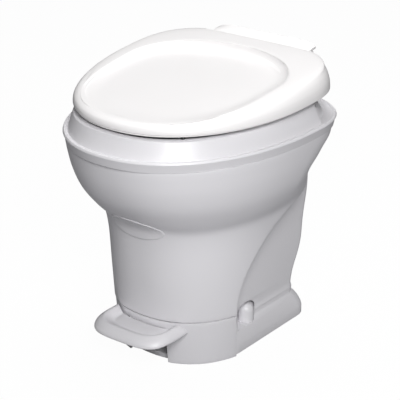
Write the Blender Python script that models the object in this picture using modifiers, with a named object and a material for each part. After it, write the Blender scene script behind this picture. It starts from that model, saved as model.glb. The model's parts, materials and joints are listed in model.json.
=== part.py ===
"""Foot-pedal gravity-flush toilet of the kind fitted in caravans and small cabins.

Metres, +Z up. The front of the bowl faces -Y and the floor is Z = 0.
The origin is on the floor, under the middle of the flange's outline.
"""

import math
from collections import namedtuple

import bmesh
import bpy
from mathutils import Euler, Matrix, Vector
from mathutils.bvhtree import BVHTree

# Overall sizes
OVERALL_WIDTH = 0.387
OVERALL_DEPTH = 0.433
OVERALL_HEIGHT = 0.470
TOUCH_GAP = 0.0003
CUT_OVERRUN = 0.010
JOIN_OVERLAP = 0.002
RING_POINTS = 32
INNER_RING_POINTS = 28
ROUND_STEPS = 20

# Flange and rim collar
LID_OVER_FLANGE = 0.0920
FLANGE_Z = OVERALL_HEIGHT - LID_OVER_FLANGE
FLANGE_WIDEST_Y = 0.061
FLANGE_FRONT_POWER = 2.16
FLANGE_REAR_POWER = 2.9
DROP_LIP_HEIGHT = 0.014
DROP_LIP_INSET = 0.0040
COLLAR_FLOOR_RISE = 0.0060
FLANGE_THICKNESS = 0.0095
FLANGE_TOP_INSET = 0.0010
BAND_FOOT_INSET = 0.0055
BAND_HEIGHT = 0.030
BAND_DRAFT = 0.0165
CREST_WIDTH = 0.013
CREST_ROUND = 0.0025
BAND_FRONT_POWER = 2.37
BAND_END_GAP = 0.0160
DECK_HEIGHT = 0.017
DECK_SLOPE_RUN = 0.0075
DECK_EDGE_INSET = 0.0200
LIP_GROOVE_INSET = 0.0050
MOUTH_SIDE_MARGIN = 0.0455
MOUTH_FRONT_MARGIN = 0.0415
MOUTH_REAR_MARGIN = 0.0985
BOWL_MOUTH_HALF = OVERALL_WIDTH / 2 - MOUTH_SIDE_MARGIN
BOWL_MOUTH_FRONT = MOUTH_FRONT_MARGIN - OVERALL_DEPTH / 2
BOWL_MOUTH_REAR = OVERALL_DEPTH / 2 - MOUTH_REAR_MARGIN
BAND_END_Y = BOWL_MOUTH_REAR - BAND_END_GAP
BOWL_MOUTH_WIDEST_Y = 0.0300
BOWL_MOUTH_POWER = 2.25
MOUTH_FLARE = 0.0045

# Pedestal shell
SHELL_WALL = 0.0030
SEAM_Z = 0.0790
SHELL_TOP_INSET = 0.0050
SHELL_FRONT_POWER = 2.27
SHELL_REAR_INSET = 0.0105
SHELL_REAR = OVERALL_DEPTH / 2 - SHELL_REAR_INSET
COLUMN_HALF = 0.1282
COLUMN_FRONT = -0.1219
COLUMN_WIDEST_Y = 0.0339
SHELL_FRONT_INSET = 0.0085
SHELL_TOP_FRONT = SHELL_FRONT_INSET - OVERALL_DEPTH / 2
SHELL_RINGS = 15
# Height share, and how far the section has swollen from column to rim there
SWELL_SHARES = ((0.0, 0.0), (0.214, 0.051), (0.425, 0.101), (0.53, 0.166), (0.575, 0.239),
                (0.642, 0.454), (0.74, 0.713), (0.846, 0.877), (0.951, 0.970), (1.0, 1.0))
# Height share, and the power of the rear half of the section there
REAR_ROUND_SHARES = ((0.0, 2.9), (0.565, 2.9), (0.60, 2.6), (0.642, 2.3), (0.688, 2.0),
                     (0.74, 1.83), (0.793, 1.83), (0.846, 2.1), (0.898, 2.4), (0.951, 2.85), (1.0, 2.9))

# Swept rear edge of the shell: an elliptical sweep from the seam up to the rear
SWEEP_REAR_REACH = 0.0240
SWEEP_REAR_Y = SHELL_REAR + SWEEP_REAR_REACH
SWEEP_FOOT_Y = -0.0325
SWEEP_FOOT_Z = 0.0840
SWEEP_TOP_Z = 0.2580
SWEEP_POWER = 2.12
SWEEP_FLOOR_Y = -0.0230
SWEEP_STEPS = 14

# Bare oval pad on the neck
PAD_HALF_WIDTH = 0.0530
PAD_HALF_HEIGHT = 0.0200
PAD_Z = 0.2390
PAD_THICKNESS = 0.0022
PAD_SEAT_GAP = 0.0012

# Base front, below the seam
BASE_WALL = 0.0040
BASE_TOP_HALF = 0.1270
BASE_TOP_FRONT = -0.1200
BASE_WIDEST_Y = 0.0330
BASE_FLOOR_HALF = 0.1205
BASE_FLOOR_FRONT = -0.1125
BASE_POWER = 2.3
OPENING_HALF_WIDTH = 0.0389
OPENING_HEIGHT = 0.0640
OPENING_EDGE = 0.0040

# Base foot
FOOT_HALF = 0.1115
FOOT_HEIGHT = 0.0400
FOOT_REAR = 0.1920
FOOT_FRONT = -0.0450
FOOT_CORNER = 0.0300
FOOT_WALL = 0.0040
# Height share of the foot, and how far it has drawn in there
FOOT_DRAW_SHARES = ((0.0, 0.0), (0.50, 0.03), (0.65, 0.20), (0.80, 0.48), (0.92, 0.78), (1.0, 1.0))
FOOT_DRAW = 0.0100
FOOT_REAR_DRAW_SHARE = 1.6
FOOT_CORNER_DRAW_SHARE = 0.3
CURB_HALF = 0.1003
CURB_REAR = 0.1570
CURB_CORNER = 0.0180
CURB_TOP_Z = 0.0535
CURB_WALL = 0.0030
TONGUE_HEIGHT = 0.0080
TONGUE_INSET = 0.0080
TONGUE_REAR_Y = -0.0150
OUTLET_Y = 0.0550
BOLT_HALF_SPACING = 0.0762
NICHE_RADIUS = 0.0135
NICHE_FLOOR_Z = 0.0245
NICHE_TOP_Z = 0.0780
NICHE_TURN = math.radians(-55.5)
NICHE_REACH = 0.0700
SEAL_POCKET_RADIUS = 0.0620
SEAL_POCKET_DEPTH = 0.0120

# Rear body
REAR_HALF = 0.1020
REAR_FRONT = -0.0700
REAR_OPEN_Y = -0.0430
REAR_CORNER = 0.0200
REAR_WALL = 0.0030
REAR_DEPTH_INSET = 0.0013
REAR_DEPTH = SHELL_REAR - REAR_DEPTH_INSET
REAR_TOP_Z = 0.2480
REAR_FLARE = 0.0015
REAR_FLARE_HEIGHT = 0.0080
# Height share, and the rear wall's place as a share of REAR_DEPTH there
REAR_PROFILE_SHARES = ((0.0, 0.772), (0.06, 0.776), (0.16, 0.786), (0.255, 0.824), (0.34, 0.878),
                       (0.40, 0.921), (0.54, 0.931), (0.69, 0.951), (0.89, 1.0), (1.0, 1.0))

# Waste valve
BALL_RADIUS = 0.0540
BALL_WALL = 0.0035
BALL_CAP_SHARE = 0.71
BALL_ARM_HALF = 0.0110
THROAT_RADIUS = 0.0368
HOUSING_BORE = 0.0575
HOUSING_WALL = 0.0030
HOUSING_FLANGE = 0.0680
HOUSING_FOOT_RADIUS = 0.0560
SPIGOT_RADIUS = 0.0445
SPIGOT_WALL = 0.0030
SEAL_RING_HEIGHT = 0.0050
SHAFT_RADIUS = 0.0060
SHAFT_CLEARANCE = 0.0003

# Drive: sector gear on the pedal, rack, and pinion on the ball's shaft
GEAR_MODULE = 0.0020
PINION_TEETH = 18
SECTOR_TEETH_ROUND = 108
SECTOR_TEETH = 12
TOOTH_HEIGHT_SHARE = 0.92
ROOT_DEPTH_SHARE = 1.20
PRESSURE_ANGLE = math.radians(20.0)
BACKLASH = 0.00035
GEAR_THICKNESS = 0.0080
GEAR_X = 0.0700
PEDAL_AXIS_Y = -0.0550
PEDAL_AXIS_Z = 0.0620
PEDAL_TRAVEL = math.radians(15.0)
VALVE_AXIS_Z = PEDAL_AXIS_Z + GEAR_MODULE * (SECTOR_TEETH_ROUND - PINION_TEETH) / 2
RACK_BAR_HEIGHT = 0.0095
RAMP_SLOPE_SHARE = 0.25
PIN_RADIUS = 0.0040
PIN_CLEARANCE = 0.0003
HUB_RADIUS = 0.0100
PLATE_THICKNESS = 0.0030
PLATE_GAP = 0.0025

# Pedal
PEDAL_HALF = 0.0740
PEDAL_FRONT = -0.1920
PEDAL_MIDDLE_Y = -0.1180
PEDAL_REAR_Y = -0.0700
PEDAL_POWER = 3.0
PEDAL_GAP = 0.0035
PEDAL_CREST_Z = 0.0710
PEDAL_WING_Z = 0.0745
PEDAL_EDGE_Z = 0.0545
PEDAL_FLOOR_Z = 0.0645
PEDAL_RIM_WIDTH = 0.0170
PEDAL_WING_WIDTH = 0.0135
PEDAL_BASIN_SLOPE = 0.02
PEDAL_WING_RUN = 0.0400
PEDAL_EDGE_LIFT = 0.0035
PEDAL_MIDDLE_SHARE = 3.0
PEDAL_PLATE = 0.0040
PEDAL_ARM_HALF = 0.0300
PEDAL_ARM_TOP_Z = 0.0632
PEDAL_ARM_HEIGHT = 0.0130
PEDAL_POINTS = 32
STOP_RADIUS = 0.0090
STOP_Y = -0.1560
STOP_LOW_Z = 0.0340

# Seat and lid
HINGE_REAR_INSET = 0.0220
HINGE_DROP = 0.0220
HINGE_Y = OVERALL_DEPTH / 2 - HINGE_REAR_INSET
HINGE_Z = OVERALL_HEIGHT - HINGE_DROP
HINGE_PIN_RADIUS = 0.0032
HINGE_EYE_RADIUS = 0.0085
LID_SIDE_INSET = 0.0065
LID_FRONT_INSET = 0.0265
LID_REAR_REACH = 0.0055
LID_HALF = OVERALL_WIDTH / 2 - LID_SIDE_INSET
LID_FRONT = LID_FRONT_INSET - OVERALL_DEPTH / 2
LID_REAR = HINGE_Y + LID_REAR_REACH
LID_WIDEST_Y = 0.0500
LID_FRONT_POWER = 2.11
LID_REAR_POWER = 2.95
LID_EDGE_DROP = 0.0540
LID_EDGE_Z = OVERALL_HEIGHT - LID_EDGE_DROP
LID_LENGTH = HINGE_Y - LID_FRONT
LID_EDGE_RISE = 0.010766
LID_EDGE_SLOPE = LID_EDGE_RISE / LID_LENGTH
LID_WALL = 0.0030
PANEL_SIDE_MARGIN = 0.0410
PANEL_FRONT_MARGIN = 0.0185
PANEL_HINGE_MARGIN = 0.0525
PANEL_HALF = LID_HALF - PANEL_SIDE_MARGIN
PANEL_FRONT = LID_FRONT + PANEL_FRONT_MARGIN
PANEL_REAR = HINGE_Y - PANEL_HINGE_MARGIN
PANEL_WIDEST_Y = 0.0370
PANEL_RISE = 0.0120
PANEL_Z = LID_EDGE_Z + PANEL_RISE
PANEL_TILT_RISE = 0.043064
PANEL_SLOPE = PANEL_TILT_RISE / LID_LENGTH
SADDLE_SIDE_MARGIN = 0.0480
SADDLE_HALF = PANEL_HALF - SADDLE_SIDE_MARGIN
SLOT_WIDTH = 0.0080
SLOT_DEPTH = 0.0340
SADDLE_REAR_REACH = 0.0165
SADDLE_REAR = HINGE_Y + SADDLE_REAR_REACH
SADDLE_WALL = 0.0040
SEAT_SIDE_INSET = 0.0040
SEAT_FRONT_INSET = 0.0015
SEAT_HINGE_GAP = 0.0265
SEAT_REST_GAP = 0.0028
SEAT_HALF = LID_HALF - SEAT_SIDE_INSET
SEAT_FRONT = LID_FRONT + SEAT_FRONT_INSET
SEAT_REAR = HINGE_Y - SEAT_HINGE_GAP
SEAT_BOTTOM_Z = FLANGE_Z + BAND_HEIGHT + SEAT_REST_GAP
SEAT_STEP_Z = 0.0046
SEAT_CROWN = 0.0130
SEAT_STEP_IN = 0.0060
SEAT_SIDE_WIDTH = 0.0710
SEAT_FRONT_WIDTH = 0.0685
SEAT_REAR_WIDTH = 0.0930
SEAT_HOLE_HALF = SEAT_HALF - SEAT_SIDE_WIDTH
SEAT_HOLE_FRONT = SEAT_FRONT + SEAT_FRONT_WIDTH
SEAT_HOLE_REAR = SEAT_REAR - SEAT_REAR_WIDTH
SEAT_HOLE_WIDEST_Y = -0.0100

Section = namedtuple("Section", "half front rear widest z slope front_power rear_power")


# Scene and object helpers

def clear_scene():
    for old in list(bpy.data.objects):
        bpy.data.objects.remove(old, do_unlink=True)


def new_collection(name):
    made = bpy.data.collections.new(name)
    bpy.context.scene.collection.children.link(made)
    return made


def finish_material(name, colour, roughness, metallic=0.0):
    made = bpy.data.materials.new(name)
    made.use_nodes = True
    shader = made.node_tree.nodes["Principled BSDF"]
    shader.inputs["Base Color"].default_value = (*colour, 1.0)
    shader.inputs["Roughness"].default_value = roughness
    shader.inputs["Metallic"].default_value = metallic
    return made


clear_scene()
PARTS = new_collection("pedal_toilet")
CUTTERS = new_collection("cutters")
CUTTERS.hide_render = True

WHITE_PLASTIC = ((0.86, 0.85, 0.86), 0.22, 0.0)
LID_PLASTIC = ((0.90, 0.89, 0.90), 0.25, 0.0)
BOWL_PLASTIC = ((0.84, 0.84, 0.85), 0.18, 0.0)
BLACK_PLASTIC = ((0.03, 0.03, 0.03), 0.45, 0.0)
GREY_PLASTIC = ((0.35, 0.36, 0.38), 0.40, 0.0)
NYLON = ((0.80, 0.78, 0.72), 0.45, 0.0)
RUBBER = ((0.04, 0.04, 0.045), 0.70, 0.0)
STEEL = ((0.62, 0.62, 0.63), 0.30, 1.0)
BRASS = ((0.72, 0.55, 0.28), 0.30, 1.0)
CLEAR_HOSE = ((0.75, 0.78, 0.80), 0.30, 0.0)


def as_part(item, finish, pivot=None):
    """Put a finished piece in the toilet's collection with a material of its own.

    A moving piece gets its origin on the pivot that it turns or slides on.
    """
    if pivot is not None:
        item.data.transform(Matrix.Translation(-Vector(pivot)))
        item.location = pivot
    item.data.materials.clear()
    item.data.materials.append(finish_material(item.name, *finish))
    if item.name not in PARTS.objects:
        PARTS.objects.link(item)
    if isinstance(item.data, bpy.types.Mesh):
        item.data.shade_smooth()
        item.data.set_sharp_from_angle(angle=math.radians(35.0))
    return item


def as_tool(item):
    """Keep a shape only as a cutter or a joined-on form."""
    item.hide_render = True
    item.display_type = "WIRE"
    CUTTERS.objects.link(item)
    return item


def mesh_item(name, bm):
    mesh = bpy.data.meshes.new(name)
    bm.normal_update()
    bm.to_mesh(mesh)
    bm.free()
    return bpy.data.objects.new(name, mesh)


def combine(item, tool, operation):
    change = item.modifiers.new(operation.title(), "BOOLEAN")
    change.operation = operation
    change.object = tool
    return item


def cut(item, tool):
    return combine(item, tool, "DIFFERENCE")


def join(item, tool):
    return combine(item, tool, "UNION")


def loft(name, rings, looped=False, capped=True):
    """Skin equal rings, each counter-clockwise seen from above, listed from the bottom up."""
    bm = bmesh.new()
    rows = [[bm.verts.new(point) for point in ring] for ring in rings]
    pairs = list(zip(rows, rows[1:]))
    if looped:
        pairs.append((rows[-1], rows[0]))
    for low, high in pairs:
        for here in range(len(low)):
            there = (here + 1) % len(low)
            bm.faces.new((low[here], low[there], high[there], high[here]))
    if capped and not looped:
        bm.faces.new(list(reversed(rows[0])))
        bm.faces.new(rows[-1])
    return mesh_item(name, bm)


def mesh_out(item):
    """Turn a closed mesh's faces outwards."""
    bm = bmesh.new()
    bm.from_mesh(item.data)
    bmesh.ops.recalc_face_normals(bm, faces=bm.faces)
    bm.to_mesh(item.data)
    bm.free()


def box(name, low, high, bevel=0.0):
    bm = bmesh.new()
    bmesh.ops.create_cube(bm, size=1.0)
    size = Vector(high) - Vector(low)
    middle = (Vector(high) + Vector(low)) / 2
    bmesh.ops.transform(bm, matrix=Matrix.Translation(middle) @ Matrix.Diagonal((*size, 1.0)),
                        verts=bm.verts)
    item = mesh_item(name, bm)
    if bevel:
        edge = item.modifiers.new("Bevel", "BEVEL")
        edge.width = bevel
        edge.segments = 1
    return item


AXIS_TURN = {"X": Euler((0.0, math.pi / 2, 0.0)), "Y": Euler((-math.pi / 2, 0.0, 0.0)),
             "Z": Euler((0.0, 0.0, 0.0))}


def rod(name, radius, start, length, axis, steps=ROUND_STEPS, end_radius=None):
    """A round bar that starts at a point and runs the given length along +axis."""
    bm = bmesh.new()
    bmesh.ops.create_cone(bm, cap_ends=True, segments=steps, radius1=radius,
                          radius2=radius if end_radius is None else end_radius, depth=length)
    bmesh.ops.translate(bm, vec=(0.0, 0.0, length / 2), verts=bm.verts)
    turn = AXIS_TURN[axis].to_matrix().to_4x4()
    bmesh.ops.transform(bm, matrix=Matrix.Translation(start) @ turn, verts=bm.verts)
    return mesh_item(name, bm)


def turned(name, profile, place, axis="Z", steps=ROUND_STEPS, ring=False):
    """Spin a profile of (radius, height), listed down its outer side, round an axis."""
    bm = bmesh.new()
    points = [bm.verts.new((radius, 0.0, height)) for radius, height in profile]
    for first, second in zip(points, points[1:]):
        bm.edges.new((first, second))
    if ring:
        bm.edges.new((points[-1], points[0]))
    item = mesh_item(name, bm)
    spin = item.modifiers.new("Screw", "SCREW")
    spin.steps = steps
    spin.render_steps = steps
    spin.use_merge_vertices = True
    spin.merge_threshold = 0.00005
    item.location = place
    item.rotation_euler = AXIS_TURN[axis]
    return item


def flat_outline(name, outlines, middle_x, thickness, pivot=(0.0, 0.0)):
    """A plate in the Y-Z plane: outer outline first, then its holes, as (y, z) points."""
    curve = bpy.data.curves.new(name, "CURVE")
    curve.dimensions = "2D"
    curve.fill_mode = "BOTH"
    curve.extrude = thickness / 2
    for outline in outlines:
        spline = curve.splines.new("POLY")
        spline.points.add(len(outline) - 1)
        for point, (y, z) in zip(spline.points, outline):
            point.co = (y - pivot[0], z - pivot[1], 0.0, 1.0)
        spline.use_cyclic_u = True
    item = bpy.data.objects.new(name, curve)
    item.rotation_euler = (math.pi / 2, 0.0, math.pi / 2)
    item.location = (middle_x, *pivot)
    return item


def solid_outline(name, outline, start_x, end_x):
    """A prism along X over a (y, z) outline listed counter-clockwise seen from +X."""
    bm = bmesh.new()
    base = bm.faces.new([bm.verts.new((start_x, y, z)) for y, z in outline])
    base.normal_flip()
    grown = bmesh.ops.extrude_face_region(bm, geom=[base])
    moved = [part for part in grown["geom"] if isinstance(part, bmesh.types.BMVert)]
    bmesh.ops.translate(bm, vec=(end_x - start_x, 0.0, 0.0), verts=moved)
    bmesh.ops.recalc_face_normals(bm, faces=bm.faces)
    return mesh_item(name, bm)


def tube_along(name, route, radius):
    curve = bpy.data.curves.new(name, "CURVE")
    curve.dimensions = "3D"
    curve.bevel_depth = radius
    curve.bevel_resolution = 1
    curve.use_fill_caps = True
    spline = curve.splines.new("POLY")
    spline.points.add(len(route) - 1)
    for point, place in zip(spline.points, route):
        point.co = (*place, 1.0)
    return bpy.data.objects.new(name, curve)


# Section helpers

def smooth_value(table, share):
    """Read a table of (share, value) with a smooth cubic between its rows."""
    if share <= table[0][0]:
        return table[0][1]
    if share >= table[-1][0]:
        return table[-1][1]
    row = max(index for index in range(len(table) - 1) if table[index][0] <= share)

    def slope(index):
        before = table[max(index - 1, 0)]
        after = table[min(index + 1, len(table) - 1)]
        return (after[1] - before[1]) / (after[0] - before[0])

    low, high = table[row], table[row + 1]
    span = high[0] - low[0]
    part = (share - low[0]) / span
    return (low[1] * (1 + 2 * part) * (1 - part) ** 2 + high[1] * part ** 2 * (3 - 2 * part)
            + slope(row) * span * part * (1 - part) ** 2
            - slope(row + 1) * span * part ** 2 * (1 - part))


def egg_ring(section, count=RING_POINTS):
    """Points of an egg-shaped section, rounder or squarer in front and behind by its powers."""
    ring = []
    for step in range(count):
        angle = 2 * math.pi * step / count
        across, along = math.cos(angle), math.sin(angle)
        if along < 0:
            reach, power = section.widest - section.front, section.front_power
        else:
            reach, power = section.rear - section.widest, section.rear_power
        x = section.half * math.copysign(abs(across) ** (2 / power), across)
        y = section.widest + reach * math.copysign(abs(along) ** (2 / power), along)
        ring.append(Vector((x, y, section.z + section.slope * (y - section.front))))
    return ring


def inset(section, amount, z):
    """The same section drawn in all round, at another height."""
    return section._replace(half=section.half - amount, front=section.front + amount,
                            rear=section.rear - amount, z=z)


def corner_ring(half, front, rear, corner, z, steps=3):
    """A rectangle with round corners, counter-clockwise from the front right."""
    centres = ((half - corner, front + corner, -90), (half - corner, rear - corner, 0),
               (corner - half, rear - corner, 90), (corner - half, front + corner, 180))
    ring = []
    for x, y, start in centres:
        for step in range(steps + 1):
            angle = math.radians(start + 90 * step / steps)
            ring.append(Vector((x + corner * math.cos(angle), y + corner * math.sin(angle), z)))
    return ring


def egg_y(section, x):
    """The front edge's Y at a given X of an egg-shaped section."""
    share = min(abs(x) / section.half, 1.0)
    reach = section.widest - section.front
    return section.widest - reach * (1 - share ** section.front_power) ** (1 / section.front_power)


# Sections that several pieces share

FLANGE = Section(OVERALL_WIDTH / 2, -OVERALL_DEPTH / 2, OVERALL_DEPTH / 2, FLANGE_WIDEST_Y,
                 FLANGE_Z, 0.0, FLANGE_FRONT_POWER, FLANGE_REAR_POWER)
MOUTH = Section(BOWL_MOUTH_HALF, BOWL_MOUTH_FRONT, BOWL_MOUTH_REAR, BOWL_MOUTH_WIDEST_Y,
                FLANGE_Z, 0.0, BOWL_MOUTH_POWER, BOWL_MOUTH_POWER)
COLLAR_FLOOR_Z = FLANGE_Z - COLLAR_FLOOR_RISE
DROP_LIP_Z = FLANGE_Z - DROP_LIP_HEIGHT
DECK_Z = FLANGE_Z + DECK_HEIGHT
CREST_Z = FLANGE_Z + BAND_HEIGHT


def shell_section(share):
    """The pedestal's outer section at a share of the height from the seam to the flange."""
    swell = smooth_value(SWELL_SHARES, share)
    top_half = OVERALL_WIDTH / 2 - SHELL_TOP_INSET
    return Section(COLUMN_HALF + (top_half - COLUMN_HALF) * swell,
                   COLUMN_FRONT + (SHELL_TOP_FRONT - COLUMN_FRONT) * swell,
                   SHELL_REAR,
                   COLUMN_WIDEST_Y + (FLANGE_WIDEST_Y - COLUMN_WIDEST_Y) * swell,
                   SEAM_Z + TOUCH_GAP + (DROP_LIP_Z - 2 * TOUCH_GAP - SEAM_Z) * share, 0.0,
                   SHELL_FRONT_POWER, smooth_value(REAR_ROUND_SHARES, share))


def base_section(share, wall=0.0):
    """The base front's section at a share of the height from the floor to the seam."""
    return Section(BASE_FLOOR_HALF + (BASE_TOP_HALF - BASE_FLOOR_HALF) * share - wall,
                   BASE_FLOOR_FRONT + (BASE_TOP_FRONT - BASE_FLOOR_FRONT) * share + wall,
                   SHELL_REAR - wall, BASE_WIDEST_Y, SEAM_Z * share, 0.0, BASE_POWER, BASE_POWER)


def sweep_outline(offset=0.0):
    """The (y, z) outline of everything behind the shell's swept edge, moved back by offset."""
    outline = []
    for step in range(SWEEP_STEPS + 1):
        angle = math.pi / 2 * step / SWEEP_STEPS
        run = math.cos(angle) ** (2 / SWEEP_POWER)
        rise = math.sin(angle) ** (2 / SWEEP_POWER)
        outline.append((SWEEP_REAR_Y - (SWEEP_REAR_Y - SWEEP_FOOT_Y - offset) * run,
                        SWEEP_FOOT_Z + (SWEEP_TOP_Z - SWEEP_FOOT_Z - offset) * rise))
    outline.append((SWEEP_REAR_Y + CUT_OVERRUN, SWEEP_TOP_Z - offset))
    outline.append((SWEEP_REAR_Y + CUT_OVERRUN, -CUT_OVERRUN))
    outline.append((SWEEP_FLOOR_Y + offset, -CUT_OVERRUN))
    outline.reverse()
    return outline


# Rim collar: flange, drop lip, band, crest and rear deck in one moulding

def make_rim_collar():
    lip_inside = inset(FLANGE, DROP_LIP_INSET + SHELL_WALL, DROP_LIP_Z)
    deck_edge = inset(FLANGE, DECK_EDGE_INSET + DECK_SLOPE_RUN, DECK_Z)
    flange_top = FLANGE_Z + FLANGE_THICKNESS - COLLAR_FLOOR_RISE
    rings = [
        inset(FLANGE, DROP_LIP_INSET, DROP_LIP_Z),
        inset(FLANGE, DROP_LIP_INSET / 2, FLANGE_Z - DROP_LIP_INSET),
        FLANGE,
        inset(FLANGE, FLANGE_TOP_INSET, flange_top - FLANGE_TOP_INSET),
        inset(FLANGE, 2 * FLANGE_TOP_INSET, flange_top),
        inset(FLANGE, LIP_GROOVE_INSET, flange_top),
        inset(FLANGE, LIP_GROOVE_INSET + FLANGE_TOP_INSET, flange_top - FLANGE_TOP_INSET),
        inset(FLANGE, DECK_EDGE_INSET, flange_top - FLANGE_TOP_INSET),
        deck_edge,
        inset(MOUTH, -MOUTH_FLARE, DECK_Z),
        inset(MOUTH, 0.0, DECK_Z - MOUTH_FLARE),
        inset(MOUTH, 0.0, COLLAR_FLOOR_Z),
        inset(lip_inside, 0.0, COLLAR_FLOOR_Z),
        lip_inside,
    ]
    collar = loft("rim_collar", [egg_ring(ring) for ring in rings], looped=True)

    band_foot = inset(FLANGE, BAND_FOOT_INSET, COLLAR_FLOOR_Z + JOIN_OVERLAP)
    band_top = inset(FLANGE, BAND_FOOT_INSET + BAND_DRAFT, CREST_Z - CREST_ROUND)
    band_top = band_top._replace(front_power=BAND_FRONT_POWER)
    crest_out = inset(band_top, CREST_ROUND, CREST_Z)
    crest_in = inset(band_top, CREST_WIDTH, CREST_Z)
    band_rings = [
        band_foot,
        band_top,
        inset(band_top, CREST_ROUND / 3, CREST_Z - CREST_ROUND / 3),
        crest_out,
        crest_in,
        inset(crest_in, CREST_ROUND, CREST_Z - CREST_ROUND),
        inset(MOUTH, -MOUTH_FLARE - JOIN_OVERLAP, DECK_Z - JOIN_OVERLAP),
        inset(MOUTH, -MOUTH_FLARE - JOIN_OVERLAP, COLLAR_FLOOR_Z + JOIN_OVERLAP),
    ]
    band = as_tool(loft("band_form", [egg_ring(ring) for ring in band_rings], looped=True))
    behind = as_tool(box("band_end_cut", (-OVERALL_WIDTH, BAND_END_Y, FLANGE_Z - CUT_OVERRUN),
                         (OVERALL_WIDTH, OVERALL_DEPTH, OVERALL_HEIGHT)))
    cut(band, behind)
    join(collar, band)
    for side, name in ((-1, "left"), (1, "right")):
        hole = rod("hinge_stud_hole_" + name, STUD_RADIUS + PIN_CLEARANCE,
                   (side * POST_X, STUD_Y, COLLAR_FLOOR_Z - CUT_OVERRUN),
                   DECK_HEIGHT + COLLAR_FLOOR_RISE + 2 * CUT_OVERRUN, "Z", 16)
        cut(collar, as_tool(hole))
    return as_part(collar, WHITE_PLASTIC)


# Pedestal shell and its oval pad

def make_pedestal_shell():
    levels = [shell_section(step / (SHELL_RINGS - 1)) for step in range(SHELL_RINGS)]
    rings = [egg_ring(level) for level in levels]
    rings += [egg_ring(inset(level, SHELL_WALL, level.z)) for level in reversed(levels[::2])]
    shell = loft("pedestal_shell", rings, looped=True)
    sweep = solid_outline("shell_sweep_cut", sweep_outline(), -OVERALL_WIDTH, OVERALL_WIDTH)
    cut(shell, as_tool(sweep))
    return as_part(shell, WHITE_PLASTIC)


def make_badge_pad():
    rings = [egg_ring(shell_section(step / (SHELL_RINGS - 1))) for step in range(SHELL_RINGS)]
    points = [point for ring in rings for point in ring]
    faces = []
    for row in range(SHELL_RINGS - 1):
        for here in range(RING_POINTS):
            there = (here + 1) % RING_POINTS
            low, high = row * RING_POINTS, (row + 1) * RING_POINTS
            faces.append((low + here, low + there, high + there, high + here))
    neck = BVHTree.FromPolygons(points, faces)

    def pad_ring(share, lift):
        ring = []
        for step in range(RING_POINTS):
            angle = 2 * math.pi * step / RING_POINTS
            x = PAD_HALF_WIDTH * share * math.cos(angle)
            z = PAD_Z + PAD_HALF_HEIGHT * share * math.sin(angle)
            hit = neck.ray_cast(Vector((x, -OVERALL_DEPTH, z)), Vector((0.0, 1.0, 0.0)))[0]
            ring.append(Vector((x, hit.y - lift, z)))
        return ring

    ring_shares = (0.12, 0.42, 0.72, 1.0)
    back = [pad_ring(share, PAD_SEAT_GAP) for share in ring_shares]
    face = [pad_ring(share, PAD_SEAT_GAP + PAD_THICKNESS) for share in reversed(ring_shares[:-1])]
    edge = [pad_ring(1.0, PAD_SEAT_GAP + PAD_THICKNESS / 2)]
    pad = loft("badge_pad", back + edge + face)
    mesh_out(pad)
    return as_part(pad, WHITE_PLASTIC)


# Base front with the pedal's opening

def make_base_front():
    steps = 4
    rings = [egg_ring(base_section(step / steps)) for step in range(steps + 1)]
    rings += [egg_ring(base_section(step / steps, BASE_WALL)) for step in reversed(range(steps + 1))]
    front = loft("base_front", rings, looped=True)
    sweep = solid_outline("base_sweep_cut", sweep_outline(), -OVERALL_WIDTH, OVERALL_WIDTH)
    cut(front, as_tool(sweep))
    opening = box("pedal_opening_cut", (-OPENING_HALF_WIDTH, 2 * BASE_TOP_FRONT, -CUT_OVERRUN),
                  (OPENING_HALF_WIDTH, 0.0, OPENING_HEIGHT), OPENING_EDGE)
    cut(front, as_tool(opening))
    return as_part(front, WHITE_PLASTIC)


# Base foot: the sled on the floor, hollow below, with a tongue inside the base front

def niche_form(name, side, radius, top_z, floor_z):
    """An arched tunnel from a floor bolt towards the front and side, where a spanner goes in."""
    spring_z = top_z - radius
    levels = [(radius, floor_z), (radius, spring_z)]
    for share in (0.25, 0.5, 0.72, 0.9):
        angle = math.pi / 2 * share
        levels.append((radius * math.cos(angle), spring_z + radius * math.sin(angle)))
    rings = []
    for half, z in levels:
        ring = []
        for step in range(9):
            angle = NICHE_TURN + math.pi / 2 + math.pi * step / 8
            ring.append((half * math.cos(angle), half * math.sin(angle)))
        for turn in (-math.pi / 2, math.pi / 2):
            angle = NICHE_TURN + turn
            ring.append((half * math.cos(angle) + NICHE_REACH * math.cos(NICHE_TURN),
                         half * math.sin(angle) + NICHE_REACH * math.sin(NICHE_TURN)))
        rings.append([Vector((side * (BOLT_HALF_SPACING + x), OUTLET_Y + y, z)) for x, y in ring])
    form = loft(name, rings)
    mesh_out(form)
    return form


def foot_ring(share, amount=0.0):
    """The foot's outline at a share of its height, drawn in by a further amount."""
    draw = FOOT_DRAW * smooth_value(FOOT_DRAW_SHARES, share)
    return corner_ring(FOOT_HALF - draw - amount, FOOT_FRONT, FOOT_REAR - FOOT_REAR_DRAW_SHARE * draw - amount,
                       FOOT_CORNER - FOOT_CORNER_DRAW_SHARE * draw - amount, FOOT_HEIGHT * share)


def curb_ring(z, amount=0.0):
    return corner_ring(CURB_HALF - amount, FOOT_FRONT, CURB_REAR - amount, CURB_CORNER - amount, z)


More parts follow.
